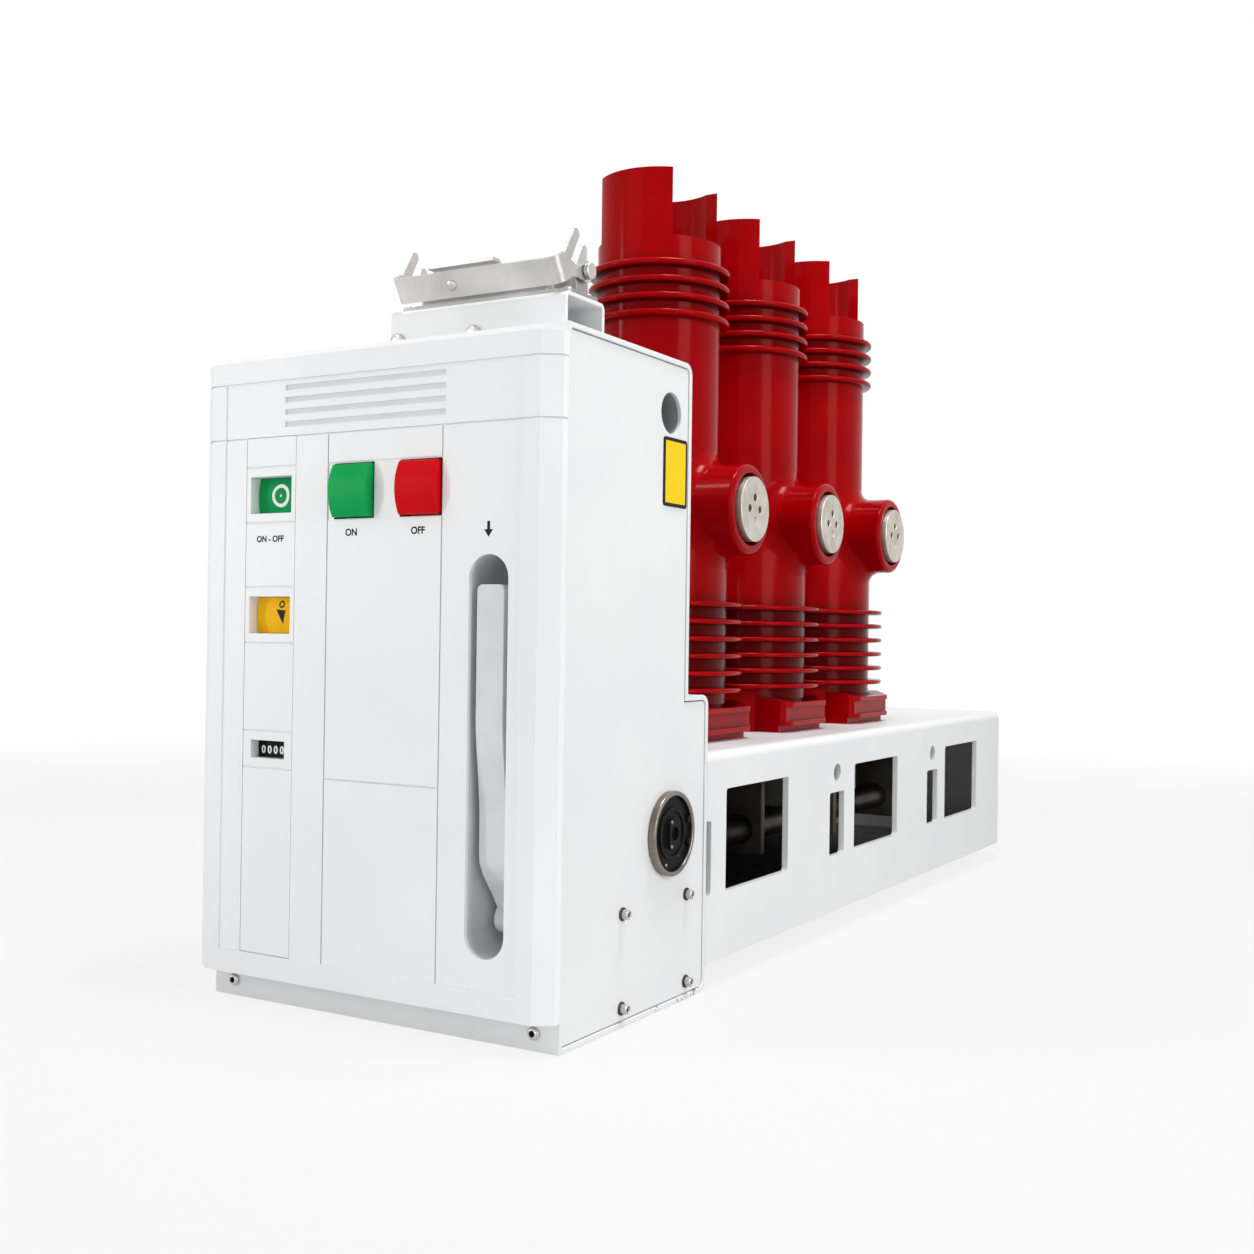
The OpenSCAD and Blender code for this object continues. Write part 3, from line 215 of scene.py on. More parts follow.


# sprayed primer inside the beam with painted shade: darkest by the drive and paler towards the far end,
# with oily stains
def shadedBeamPrimer():
    darkestTo, palestFrom = 0.56, 0.8  # places along the beam, in metres
    finish, tree, shader, coords = newFinish("greyPrimerPaintedShade", {"IOR": 1.5})
    along = addNode(tree, "SeparateXYZ", {"Vector": coords})["Y"]
    # painted shade, darkest by the drive
    tone = twoTones(tree, along, darkestTo, palestFrom, "#171615", "#8C8C8A")
    stain = addNode(tree, "TexNoise", {
        "Vector": coords, "Scale": perMetre(45), "Detail": 4.0, "Roughness": 0.6})["Fac"]
    oil = twoTones(tree, stain, 0.35, 0.65, "#7A7876", "#FFFFFF")
    shadedAndStained = addNode(tree, "Mix", {
        "Factor": 0.6, "A": tone, "B": oil}, data_type="RGBA", blend_type="MULTIPLY")["Result"]
    tree.links.new(shadedAndStained, shader.inputs["Base Color"])
    film = addNode(tree, "TexNoise", {"Vector": coords, "Scale": perMetre(12), "Detail": 3.0})["Fac"]
    spray = addNode(tree, "TexNoise", {"Vector": coords, "Scale": perMetre(4), "Detail": 3.0})["Fac"]
    giveSurface(tree, shader, film, 0.4, 0.65, spray, depthMm=0.08, strength=0.3)
    return finish


# printed ink and enamel: flat colour with a slightly uneven gloss
def printedInk(name, hexText):
    finish, tree, shader, coords = newFinish(name, {
        "Base Color": linear(hexText), "IOR": 1.48, "Specular IOR Level": 0.12})
    film = addNode(tree, "TexNoise", {"Vector": coords, "Scale": perMetre(3), "Detail": 2.0})["Fac"]
    rough = addNode(tree, "MapRange", {"Value": film, "To Min": 0.42, "To Max": 0.56, **noiseSpan})
    tree.links.new(rough["Result"], shader.inputs["Roughness"])
    return finish


# the record's slots first, then finishes that only this scene names
finishes = {
    "white_powder_coat": whitePowderCoat(),
    "cover_plastic": mouldedAbs(),
    "red_epoxy": castEpoxy(),
    "silver_plate": silverPlate(),
    "button_green": colouredPlastic("greenAbs", "#129A50", "#17A557", 0.26),
    "button_red": colouredPlastic("redAbs", "#C50810", "#D20B14", 0.26),
    "indicator_green": colouredPlastic("greenDrum", "#0E8F4C", "#139B55", 0.42),
    "indicator_yellow": colouredPlastic("yellowDrum", "#EDB010", "#F6C020", 0.42),
    "black_plastic": colouredPlastic("blackPolyamide", "#0D0D0D", "#161617", 0.4),
    "zinc_steel": platedSteel("brightZinc", "#B7B5B1", "#CCCAC6", 0.36, 1.0),
    "dark_steel": platedSteel("blackenedSteel", "#2E2B29", "#57514C", 0.4, 0.85),
    "yellow_zinc": platedSteel("yellowZinc", "#5E5A4E", "#7A7564", 0.5, 0.7),
    "rod_resin": colouredPlastic("phenolicRod", "#5A1E14", "#74291B", 0.4),
    "castAlloy": platedSteel("castAlloy", "#969694", "#A8A8A6", 0.5, 1.0),
    "rimSteel": platedSteel("turnedSteel", "#6C645D", "#8F867E", 0.3, 1.0),
    "contactBrass": platedSteel("contactBrass", "#A87B3A", "#CBA35C", 0.35, 1.0),
    # dark primer whose colour paints the shade inside the beam
    "beamInside": shadedBeamPrimer(),
    # greyer copies of the cover plastic that paint the shade in recesses
    "pocketGrey": colouredPlastic("shadedGreyAbs", "#CFD0D2", "#D9DADC", 0.45),
    "ventShade": colouredPlastic("shadedAbs", "#DDDEE0", "#E3E4E6", 0.45),
    "handleGrey": colouredPlastic("shadedPaleAbs", "#D6D7D9", "#DEDFE1", 0.4),
    "sleeveGrey": printedInk("greyEnamel", "#9A9B9C"),
    "plateYellow": printedInk("yellowEnamel", "#F4CB15"),
    "inkBlack": printedInk("blackInk", "#17181A"),
    "inkWhite": printedInk("whiteInk", "#F4F5F3"),
}
print("finishes:", len(finishes))


# small helpers for pieces

sharpAngle = math.radians(35)  # flatter edges of the added pieces are shaded smooth


def finishPiece(name, bm, finishName, body):
    # closes the bmesh into an object at the origin that rides on a body
    bmesh.ops.remove_doubles(bm, verts=bm.verts, dist=1e-6)
    bmesh.ops.recalc_face_normals(bm, faces=bm.faces)
    mesh = bpy.data.meshes.new(name)
    bm.to_mesh(mesh)
    bm.free()
    mesh.shade_smooth()
    mesh.set_sharp_from_angle(angle=sharpAngle)
    mesh.materials.append(finishes[finishName])
    piece = bpy.data.objects.new(name, mesh)
    bpy.context.scene.collection.objects.link(piece)
    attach(piece, body)
    return piece


facing = {
    "right": Matrix.Rotation(math.radians(90), 4, "Y"),
    "left": Matrix.Rotation(math.radians(-90), 4, "Y"),
    "front": Matrix.Rotation(math.radians(90), 4, "X"),
    "up": Matrix.Identity(4),
}


def placed(way, x, y, z):
    # turns a shape made along +Z to face a way and sets it down
    return Matrix.Translation((x, y, z)) @ facing[way]


def linkedTo(vert):
    # every vertex that hangs together with this one
    found = {vert}
    front = [vert]
    while front:
        here = front.pop()
        for edge in here.link_edges:
            there = edge.other_vert(here)
            if there not in found:
                found.add(there)
                front.append(there)
    return list(found)


def turned(bm, profile, place, steps=28):
    # spins (radius, height) points, in millimetres, about the shape's own axis
    verts = [bm.verts.new((r * mm, 0, h * mm)) for r, h in profile]
    edges = [bm.edges.new(pair) for pair in zip(verts, verts[1:])]
    bmesh.ops.spin(bm, geom=verts + edges, cent=(0, 0, 0), axis=(0, 0, 1), angle=math.tau,
                   steps=steps, use_merge=True)
    bmesh.ops.transform(bm, matrix=place, verts=linkedTo(verts[0]))


def prism(bm, sides, radius, low, high, place, chamfer=0.0):
    # an upright prism, in millimetres, whose top edge may be rounded off
    ring = bmesh.ops.create_circle(bm, cap_ends=True, segments=sides, radius=radius * mm,
                                   matrix=Matrix.Translation((0, 0, low * mm)))
    base = ring["verts"][0].link_faces[0]
    grown = bmesh.ops.extrude_face_region(bm, geom=[base])["geom"]
    top = [v for v in grown if isinstance(v, bmesh.types.BMVert)]
    bmesh.ops.translate(bm, verts=top, vec=(0, 0, (high - low) * mm))
    if chamfer:
        cap = [f for f in grown if isinstance(f, bmesh.types.BMFace)][0]
        bmesh.ops.bevel(bm, geom=list(cap.edges), offset=chamfer * mm, segments=2, profile=0.5,
                        affect="EDGES", material=-1)
    bmesh.ops.transform(bm, matrix=place, verts=linkedTo(ring["verts"][0]))


# CAD nodes: record slot, finish, and the small edge radius that a moulded or folded edge has
dressing = {
    "enclosure_wrap": ("white_powder_coat", "white_powder_coat", 0.6),
    "front_plate": ("white_powder_coat", "white_powder_coat", 0.6),
    "side_plate_right": ("white_powder_coat", "white_powder_coat", 0.5),
    "side_plate_left": ("white_powder_coat", "white_powder_coat", 0.5),
    "front_cover": ("cover_plastic", "cover_plastic", 0.5),
    "indicator_strip": ("cover_plastic", "cover_plastic", 0.3),
    "position_indicator": ("indicator_green", "indicator_green", 0.3),
    "spring_indicator": ("indicator_yellow", "indicator_yellow", 0.3),
    "operation_counter": ("black_plastic", "black_plastic", 0.4),
    "close_button": ("button_green", "button_green", 1.2),
    "trip_button": ("button_red", "button_red", 1.2),
    # the pocket and the charging handle in it take greyer copies of the cover plastic as painted shade
    "handle_pocket": ("cover_plastic", "pocketGrey", 0.5),
    "handle_pin": ("zinc_steel", "zinc_steel", 0.4),
    "charging_handle": ("cover_plastic", "handleGrey", 1.6),
    "connector_bracket": ("white_powder_coat", "white_powder_coat", 0.7),
    "connector_base": ("zinc_steel", "castAlloy", 0.6),
    "connector_insert": ("black_plastic", "black_plastic", 0.5),
    "bail_pins": ("zinc_steel", "zinc_steel", 0.6),
    "connector_bail": ("zinc_steel", "zinc_steel", 0.5),
    "coupling_rim": ("dark_steel", "rimSteel", 0.9),
    "coupling_hub": ("black_plastic", "black_plastic", 0.6),
    "pole_beam": ("white_powder_coat", "white_powder_coat", 0.6),
    "beam_end_plate": ("white_powder_coat", "white_powder_coat", 0.6),
    # the base plate lies inside the beam and takes its painted shade
    "beam_base_plate": ("white_powder_coat", "beamInside", 0.6),
    "drive_shaft": ("dark_steel", "dark_steel", 0.8),
    "shaft_hangers": ("yellow_zinc", "yellow_zinc", 0.6),
}
for i in (1, 2, 3):
    dressing[f"pole_{i}"] = ("red_epoxy", "red_epoxy", 1.6)
    dressing[f"lower_contact_{i}"] = ("silver_plate", "silver_plate", 0.8)
    dressing[f"upper_contact_{i}"] = ("silver_plate", "silver_plate", 0.8)
    dressing[f"pull_rod_{i}"] = ("rod_resin", "rod_resin", 0.8)

behaviour = frame["record"]["behaviour"]
bodyOf = {node: body for body, members in behaviour["bodies"].items() for node in members}
edgeAngle = math.radians(32)  # sharper edges of the CAD shapes get their small radius
flatAngle = math.radians(0.4)  # triangles that lie flatter than this are joined


def dressedCopy(node, slotName, finishName, radiusMm):
    bm = bmesh.new()
    bm.from_mesh(nodes[node].data)
    bmesh.ops.remove_doubles(bm, verts=bm.verts, dist=2e-6)
    bmesh.ops.dissolve_limit(bm, angle_limit=flatAngle, verts=bm.verts, edges=bm.edges)
    mesh = bpy.data.meshes.new(node)
    bm.to_mesh(mesh)
    bm.free()
    mesh.shade_smooth()
    mesh.set_sharp_from_angle(angle=edgeAngle)
    mesh.materials.append(finishes[finishName])
    words = node.split("_")
    piece = bpy.data.objects.new(words[0] + "".join(w.capitalize() for w in words[1:]), mesh)
    bpy.context.scene.collection.objects.link(piece)
    edges = piece.modifiers.new("edges", "BEVEL")
    edges.width = radiusMm * mm
    edges.segments = 2
    edges.limit_method = "ANGLE"
    edges.angle_limit = edgeAngle
    edges.use_clamp_overlap = True
    flats = piece.modifiers.new("flats", "WEIGHTED_NORMAL")
    flats.keep_sharp = True
    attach(piece, bodyOf[node])
    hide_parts(node)
    return piece


shown = {node: dressedCopy(node, *spec) for node, spec in dressing.items()}
print("dressed nodes:", len(shown))


# the beam's inside gets the dark primer, whose colour is painted shade
def shadeBeamInside(piece, wallMm=4.5):
    low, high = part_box("pole_beam")
    piece.data.materials.append(finishes["beamInside"])
    for face in piece.data.polygons:
        c = face.center
        inside = (low.x + wallMm * mm < c.x < high.x - wallMm * mm
                  and low.z + mm < c.z < high.z - wallMm * mm)
        if inside and abs(face.normal.y) < 0.5:
            face.material_index = 1


# the walls of the button openings are painted black as shade, so the buttons stand in a dark gap
def paintWellShade(piece, wellNodes, growMm=1.6):
    piece.data.materials.append(finishes["black_plastic"])
    for node in wellNodes:
        low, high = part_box(node)
        for face in piece.data.polygons:
            c = face.center
            inside = (low.x - growMm * mm < c.x < high.x + growMm * mm
                      and low.z - growMm * mm < c.z < high.z + growMm * mm)
            if inside and abs(face.normal.y) < 0.5:
                face.material_index = 1


# the floors of the vent grooves get painted shade, a little greyer than the face
ventFloors = {"left": -80.5, "right": 66.5, "low": 422.0, "high": 455.0, "sunkY": -117.4}


def shadeVents(piece):
    piece.data.materials.append(finishes["ventShade"])
    for face in piece.data.polygons:
        c = face.center / mm
        inside = (ventFloors["left"] < c.x < ventFloors["right"]
                  and ventFloors["low"] < c.z < ventFloors["high"])
        if inside and c.y > ventFloors["sunkY"] and face.normal.y < -0.9:
            face.material_index = len(piece.data.materials) - 1


shadeBeamInside(shown["pole_beam"])
paintWellShade(shown["front_cover"], ("close_button", "trip_button"))
paintWellShade(shown["front_plate"], ("close_button", "trip_button"))
shadeVents(shown["front_cover"])

# fasteners
sideBolt = {"washerR": 4.8, "washerT": 1.4, "headR": 3.6, "headT": 4.6, "socketR": 2.1, "socketD": 3.0,
            "frontY": -23.1, "rearY": 72.7, "lowZ": 13.4, "highZ": 79.5}


def addSideBolts():
    steel, washers = bmesh.new(), bmesh.new()
    faces = {"right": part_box("side_plate_right")[1].x, "left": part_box("side_plate_left")[0].x}
    r, t, s, d = (sideBolt[k] for k in ("headR", "headT", "socketR", "socketD"))
    w, base = sideBolt["washerR"], sideBolt["washerT"]
    top = base + t
    for way, x in faces.items():
        for y in (sideBolt["frontY"], sideBolt["rearY"]):
            for z in (sideBolt["lowZ"], sideBolt["highZ"]):
                place = placed(way, x, y * mm, z * mm)
                turned(washers, [(0, 0), (w, 0), (w, base * 0.7), (w - 0.4, base), (0, base)], place)
                turned(steel, [(r, base), (r, top - 0.8), (r - 0.7, top), (s + 0.2, top), (s, top - 0.3),
                               (s, top - d), (0, top - d)], place)
                # a thin dark hex on each socket floor paints its shade
                prism(washers, 6, s, top - d, top - d + 0.4, place)
    finishPiece("sideBoltHeads", steel, "zinc_steel", "frame")
    finishPiece("sideBoltWashers", washers, "dark_steel", "frame")


addSideBolts()

panScrew = {"headR": 6.5, "headT": 4.2, "places": (-24.0, 45.0), "wallY": -59.0, "z": 490.5}


def addPanScrews():
    # pan heads on the front wall of the connector bracket
    heads = bmesh.new()
    r, t = panScrew["headR"], panScrew["headT"]
    for x in panScrew["places"]:
        place = placed("front", x * mm, panScrew["wallY"] * mm, panScrew["z"] * mm)
        turned(heads, [(r, 0), (r, t * 0.4), (r * 0.93, t * 0.7), (r * 0.75, t * 0.9),
                       (r * 0.4, t), (0, t)], place)
    finishPiece("panScrewHeads", heads, "zinc_steel", "frame")


addPanScrews()

footScrew = {"headR": 4.6, "headT": 3.0, "socketR": 2.3, "socketD": 2.2, "insetX": 20.0, "z": 12.0}


def addFootScrews():
    heads, sockets = bmesh.new(), bmesh.new()
    low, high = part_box("front_plate")
    r, t, s, d = (footScrew[k] for k in ("headR", "headT", "socketR", "socketD"))
    for x in (low.x + footScrew["insetX"] * mm, high.x - footScrew["insetX"] * mm):
        place = placed("front", x, low.y, footScrew["z"] * mm)
        turned(heads, [(r, 0), (r, t * 0.45), (r * 0.8, t * 0.85), (s + 0.4, t),
                       (s, t), (s, t - d)], place)
        # a black hex at the bottom of each socket paints its shade
        prism(sockets, 6, s, 0, t - d, place)
    finishPiece("footScrewHeads", heads, "zinc_steel", "frame")
    finishPiece("footScrewSocketShade", sockets, "black_plastic", "frame")


addFootScrews()

# a short grub screw closes the lowest hole of each lower contact
padPlug = {"r": 3.2, "drop": 10.0, "sunk": 0.5, "length": 3.0, "edge": 0.3}


def addPadPlugs():
    plugs = bmesh.new()
    for i in (1, 2, 3):
        low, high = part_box(f"lower_contact_{i}")
        mid = (low + high) / 2
        place = placed("right", high.x, mid.y, mid.z - padPlug["drop"] * mm)
        r, edge, top = padPlug["r"], padPlug["edge"], -padPlug["sunk"]
        end = top - padPlug["length"]
        turned(plugs, [(0, end), (r, end), (r, top - edge), (r - edge, top), (0, top)], place, 20)
    finishPiece("padPlugs", plugs, "silver_plate", "frame")


addPadPlugs()
print("fasteners added")

# face of the shaft coupling: a raised ring, two lugs and small screws
coupling = {"ringOuter": 20.0, "ringInner": 16.5, "ringSeat": 3.0, "ringH": 4.2,
            "lugR": 3.0, "lugAt": (24.0, 8.5), "lugSeat": 2.8, "lugH": 5.2, "lugEdge": 0.5,
            "screwR": 1.5, "screwEdge": 0.6, "screwH": 1.1,
            # y, z and seat of each screw
            "screws": ((-6.0, 9.0, 6.0), (-6.0, -9.0, 6.0), (9.0, -17.0, 3.0), (-9.0, -22.5, 3.0))}


def addCouplingFace():
    dark, steel = bmesh.new(), bmesh.new()
    low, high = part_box("coupling_hub")
    mid = (low + high) / 2
    outer, inner, seat, h = (coupling[k] for k in ("ringOuter", "ringInner", "ringSeat", "ringH"))
    turned(dark, [(inner, seat), (inner, h - 0.4), (inner + 0.4, h), (outer - 0.6, h),
                  (outer, h - 0.6), (outer, seat)], placed("right", low.x, mid.y, mid.z), 48)
    y, z = coupling["lugAt"]
    for side in (-1, 1):
        prism(dark, 24, coupling["lugR"], coupling["lugSeat"], coupling["lugH"],
              placed("right", low.x, mid.y + y * mm, mid.z + side * z * mm), coupling["lugEdge"])
    r, edge, h = coupling["screwR"], coupling["screwEdge"], coupling["screwH"]
    for y, z, seat in coupling["screws"]:
        turned(steel, [(r, seat), (r, seat + edge), (r * 0.6, seat + h), (0, seat + h)],
               placed("right", low.x, mid.y + y * mm, mid.z + z * mm), 16)
    finishPiece("couplingRing", dark, "black_plastic", "frame")
    finishPiece("couplingScrews", steel, "rimSteel", "frame")


addCouplingFace()

# sockets for the plug's contacts, and the screws that hold the connector down
contactField = {"columns": 16, "rows": 3, "pitchX": 5.6, "pitchY": 6.4,
                "r": 1.5, "bore": 0.85, "proud": 0.6, "floor": 0.05}
holdScrew = {"headR": 3.6, "headT": 2.2, "insetX": 6.0, "insetY": 8.0}


def addContactField():
    low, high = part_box("connector_insert")
    mid = (low + high) / 2
    sockets = bmesh.new()
    r, b, t, deep = (contactField[k] for k in ("r", "bore", "proud", "floor"))
    for i in range(contactField["columns"]):
        for j in range(contactField["rows"]):
            x = mid.x + (i - (contactField["columns"] - 1) / 2) * contactField["pitchX"] * mm
            y = mid.y + (j - (contactField["rows"] - 1) / 2) * contactField["pitchY"] * mm
            turned(sockets, [(r, 0), (r, t), (b, t), (b, deep), (0, deep)], placed("up", x, y, high.z), 10)
    finishPiece("contactSockets", sockets, "contactBrass", "frame")
    screws = bmesh.new()
    low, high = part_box("connector_base")
    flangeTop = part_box("connector_insert")[0].z
    r, t = holdScrew["headR"], holdScrew["headT"]
    for x in (low.x + holdScrew["insetX"] * mm, high.x - holdScrew["insetX"] * mm):
        for y in (low.y + holdScrew["insetY"] * mm, high.y - holdScrew["insetY"] * mm):
            turned(screws, [(r, 0), (r, t * 0.5), (r * 0.8, t * 0.9), (r * 0.35, t),
                            (r * 0.3, t * 0.5), (0, t * 0.5)], placed("up", x, y, flangeTop), 20)
    finishPiece("connectorScrews", screws, "zinc_steel", "frame")


addContactField()

# the pressed dimple on the strip of the bail, placed from the bail's pivot
bailDimple = {"r": 4.2, "h": 1.5, "root": 0.4, "x": 28.6, "reach": 30.0, "drop": 14.4,
              "lean": 30.0, "up": 9.0, "sheet": 2.5}


def addBailDimple():
    bump = bmesh.new()
    r, h = bailDimple["r"], bailDimple["h"]
    pivot = [joint["pos_m"] for joint in behaviour["joints"] if joint["name"] == "bail_lift"][0]
    foot = (bailDimple["x"] * mm, pivot[1] - bailDimple["reach"] * mm, pivot[2] - bailDimple["drop"] * mm)
    place = (Matrix.Translation(foot)
             @ Matrix.Rotation(math.radians(bailDimple["lean"]), 4, "X")
             @ placed("front", 0, -bailDimple["sheet"] * mm, bailDimple["up"] * mm))
    arc = [(r * math.cos(a), h * math.sin(a)) for a in (k * math.pi / 12 for k in range(7))]
    turned(bump, [(r, -bailDimple["root"])] + arc[:-1] + [(0, h)], place, 24)
    finishPiece("bailDimple", bump, "zinc_steel", bodyOf["connector_bail"])


addBailDimple()
print("coupling and connector details added")

# blank enamel plate with a black rim under the lifting hole
liftPlate = {"yLow": 27.3, "yHigh": 63.3, "zLow": 371.0, "zHigh": 422.0,
             "t": 0.8, "rim": 2.6, "corner": 2.5}


def addLiftPlate():
    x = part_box("side_plate_right")[1].x
    w = liftPlate["yHigh"] - liftPlate["yLow"]
    h = liftPlate["zHigh"] - liftPlate["zLow"]
    bm = bmesh.new()
    grid = bmesh.ops.create_grid(bm, x_segments=1, y_segments=1, size=0.5)["verts"]
    bmesh.ops.scale(bm, vec=(h * mm, w * mm, 1), verts=grid)
    bmesh.ops.bevel(bm, geom=bm.verts[:], offset=liftPlate["corner"] * mm, segments=4, profile=0.5,
                    affect="VERTICES", material=-1)
    raised = bmesh.ops.extrude_face_region(bm, geom=bm.faces[:])["geom"]
    bmesh.ops.translate(bm, verts=[g for g in raised if isinstance(g, bmesh.types.BMVert)],
                        vec=(0, 0, liftPlate["t"] * mm))
    cap = max(bm.faces, key=lambda f: f.calc_center_median().z)
    bmesh.ops.inset_region(bm, faces=[cap], thickness=liftPlate["rim"] * mm)
    cap.material_index = 1
    place = placed("right", x, (liftPlate["yLow"] + w / 2) * mm, (liftPlate["zLow"] + h / 2) * mm)
    bmesh.ops.transform(bm, matrix=place, verts=bm.verts)
    piece = finishPiece("liftPlate", bm, "inkBlack", "frame")
    piece.data.materials.append(finishes["plateYellow"])


addLiftPlate()

# a rolled sleeve behind each lifting hole
liftSleeve = {"r": 15.6, "wall": 2.0, "length": 24.0, "y": 39.0, "z": 440.0}


def addLiftSleeves():
    sleeves = bmesh.new()
    inner, outer = liftSleeve["r"], liftSleeve["r"] + liftSleeve["wall"]
    y, z, deep = liftSleeve["y"] * mm, liftSleeve["z"] * mm, liftSleeve["length"]
    backs = {"left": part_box("side_plate_right")[0].x, "right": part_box("side_plate_left")[1].x}
    for way, x in backs.items():
        turned(sleeves, [(inner, 0), (outer, 0), (outer, deep), (inner, deep), (inner, 0)],
               placed(way, x, y, z), 48)
    finishPiece("liftSleeves", sleeves, "sleeveGrey", "frame")


addLiftSleeves()


# marks on the indicators

def ringOn(bm, outerR, innerR, steps, up=0.0):
    # a flat ring, in millimetres
    place = Matrix.Translation((0, up * mm, 0))
    outer = bmesh.ops.create_circle(bm, segments=steps, radius=outerR * mm, matrix=place)["verts"]
    inner = bmesh.ops.create_circle(bm, segments=steps, radius=innerR * mm, matrix=place)["verts"]
    bmesh.ops.bridge_loops(bm, edges=list({e for v in outer + inner for e in v.link_edges}))


def layOnCrown(bm, node, x, z, liftMm):
    # moves a flat shape to the front and drapes it over a crown that runs along X
    low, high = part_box(node)
    midZ = (low.z + high.z) / 2
    depth = (high.y - low.y) / 3  # the crown takes a third of the drum's depth
    half = (high.z - low.z) / 2
    radius = (half * half + depth * depth) / (2 * depth)
    bmesh.ops.transform(bm, matrix=placed("front", x, low.y, z), verts=bm.verts)
    for v in bm.verts:
        off = v.co.z - midZ
        v.co.y += radius - math.sqrt(radius * radius - off * off) - liftMm * mm
    bmesh.ops.solidify(bm, geom=bm.faces[:], thickness=liftMm * mm)


openMark = {"outerR": 8.5, "innerR": 5.9, "dotR": 0.9, "x": -90.7, "lift": 0.12, "steps": 40}


def addOpenMark():
    # a white ring with a dot, which follows the crown of the green drum
    low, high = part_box("position_indicator")
    bm = bmesh.new()
    ringOn(bm, openMark["outerR"], openMark["innerR"], openMark["steps"])
    bmesh.ops.create_circle(bm, cap_ends=True, segments=16, radius=openMark["dotR"] * mm)
    layOnCrown(bm, "position_indicator", openMark["x"] * mm, (low.z + high.z) / 2, openMark["lift"])
    finishPiece("openMark", bm, "inkWhite", "frame")


addOpenMark()

springMark = {"width": 10.0, "height": 11.0, "ringR": 2.7, "line": 1.1,
              "x": -88.5, "up": 8.0, "drop": 1.2, "lift": 0.12}


def addSpringMark():
    # a ring over a solid pointer
    low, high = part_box("spring_indicator")
    bm = bmesh.new()
    w, h, d = springMark["width"] / 2, springMark["height"] / 2, springMark["drop"]
    corners = ((-w, h), (0.3 * w, -h), (0.8 * w, h * 0.85))
    bm.faces.new([bm.verts.new((x * mm, (y - d) * mm, 0)) for x, y in corners])
    ringOn(bm, springMark["ringR"], springMark["ringR"] - springMark["line"], 24, springMark["up"])
    bmesh.ops.subdivide_edges(bm, edges=bm.edges[:], cuts=2, use_grid_fill=True)
    layOnCrown(bm, "spring_indicator", springMark["x"] * mm, (low.z + high.z) / 2, springMark["lift"])
    finishPiece("springMark", bm, "inkBlack", "frame")


addSpringMark()

# plain switch words, digits and a pull arrow
lettering = {
    "onWord": {"words": "ON", "cap": 4.8, "place": (-15.8, -118.0, 345.0), "ink": "inkBlack"},
    "offWord": {"words": "OFF", "cap": 4.8, "place": (43.6, -118.0, 345.0), "ink": "inkBlack"},
    "stateWord": {"words": "ON - OFF", "cap": 4.4, "place": (-93.0, -118.0, 342.0), "ink": "inkBlack"},
    "countDigits": {"words": "0 0 0 0 0", "cap": 5.4, "place": (-92.0, -110.0, 187.0), "ink": "inkWhite"},
}
pullArrow = {"headW": 7.0, "headH": 5.0, "stemW": 2.2, "stemH": 5.5, "t": 0.15,
             "place": (103.0, -118.0, 344.5)}


def addLettering(name, spec, thickMm=0.15):
    curve = bpy.data.curves.new(name, "FONT")
    curve.body = spec["words"]
    curve.align_x = curve.align_y = "CENTER"
    curve.size = spec["cap"] * mm / 0.7  # capitals are about 0.7 of the size
    curve.extrude = thickMm * mm / 2
    curve.offset = spec["cap"] * mm * 0.045  # a bold weight
    holder = bpy.data.objects.new(name, curve)
    bpy.context.scene.collection.objects.link(holder)
    bpy.context.view_layer.update()
    flat = bpy.data.meshes.new_from_object(holder)
    bm = bmesh.new()
    bm.from_mesh(flat)
    bpy.data.objects.remove(holder)
    bpy.data.curves.remove(curve)
    bpy.data.meshes.remove(flat)
    place = placed("front", *(v * mm for v in spec["place"]))
    bmesh.ops.transform(bm, matrix=place, verts=bm.verts)
    finishPiece(name, bm, spec["ink"], "frame")


def addPullArrow():
    bm = bmesh.new()
    w, h, s, t = pullArrow["headW"] / 2, pullArrow["headH"], pullArrow["stemW"] / 2, pullArrow["stemH"]
    outline = ((0, -h), (w, 0), (s, 0), (s, t), (-s, t), (-s, 0), (-w, 0))
    face = bm.faces.new([bm.verts.new((x * mm, y * mm, 0)) for x, y in outline])
    raised = bmesh.ops.extrude_face_region(bm, geom=[face])["geom"]
    bmesh.ops.translate(bm, verts=[g for g in raised if isinstance(g, bmesh.types.BMVert)],
                        vec=(0, 0, pullArrow["t"] * mm))
    place = placed("front", *(v * mm for v in pullArrow["place"]))
    bmesh.ops.transform(bm, matrix=place, verts=bm.verts)
    finishPiece("pullArrow", bm, "inkBlack", "frame")


for name, spec in lettering.items():
    addLettering(name, spec)
addPullArrow()
print("marks added")


def seenDirectly(tree):
    # 1 for what is looked at, mirrored or seen through, and 0 for what only gives light
    path = addNode(tree, "LightPath")
    seen = addNode(tree, "Math", {
        0: path["Is Camera Ray"], 1: path["Is Glossy Ray"]}, operation="MAXIMUM")["Value"]
    return addNode(tree, "Math", {0: seen, 1: path["Is Transmission Ray"]}, operation="MAXIMUM")["Value"]


# pale floor that fades out into the white surround, in metres
floorSpec = {"radius": 3.2, "centreY": 0.4, "drop": 0.0005, "fadeFrom": 1.3, "fadeTo": 3.0,
             "albedo": "#C4C4C4", "glow": 0.84}


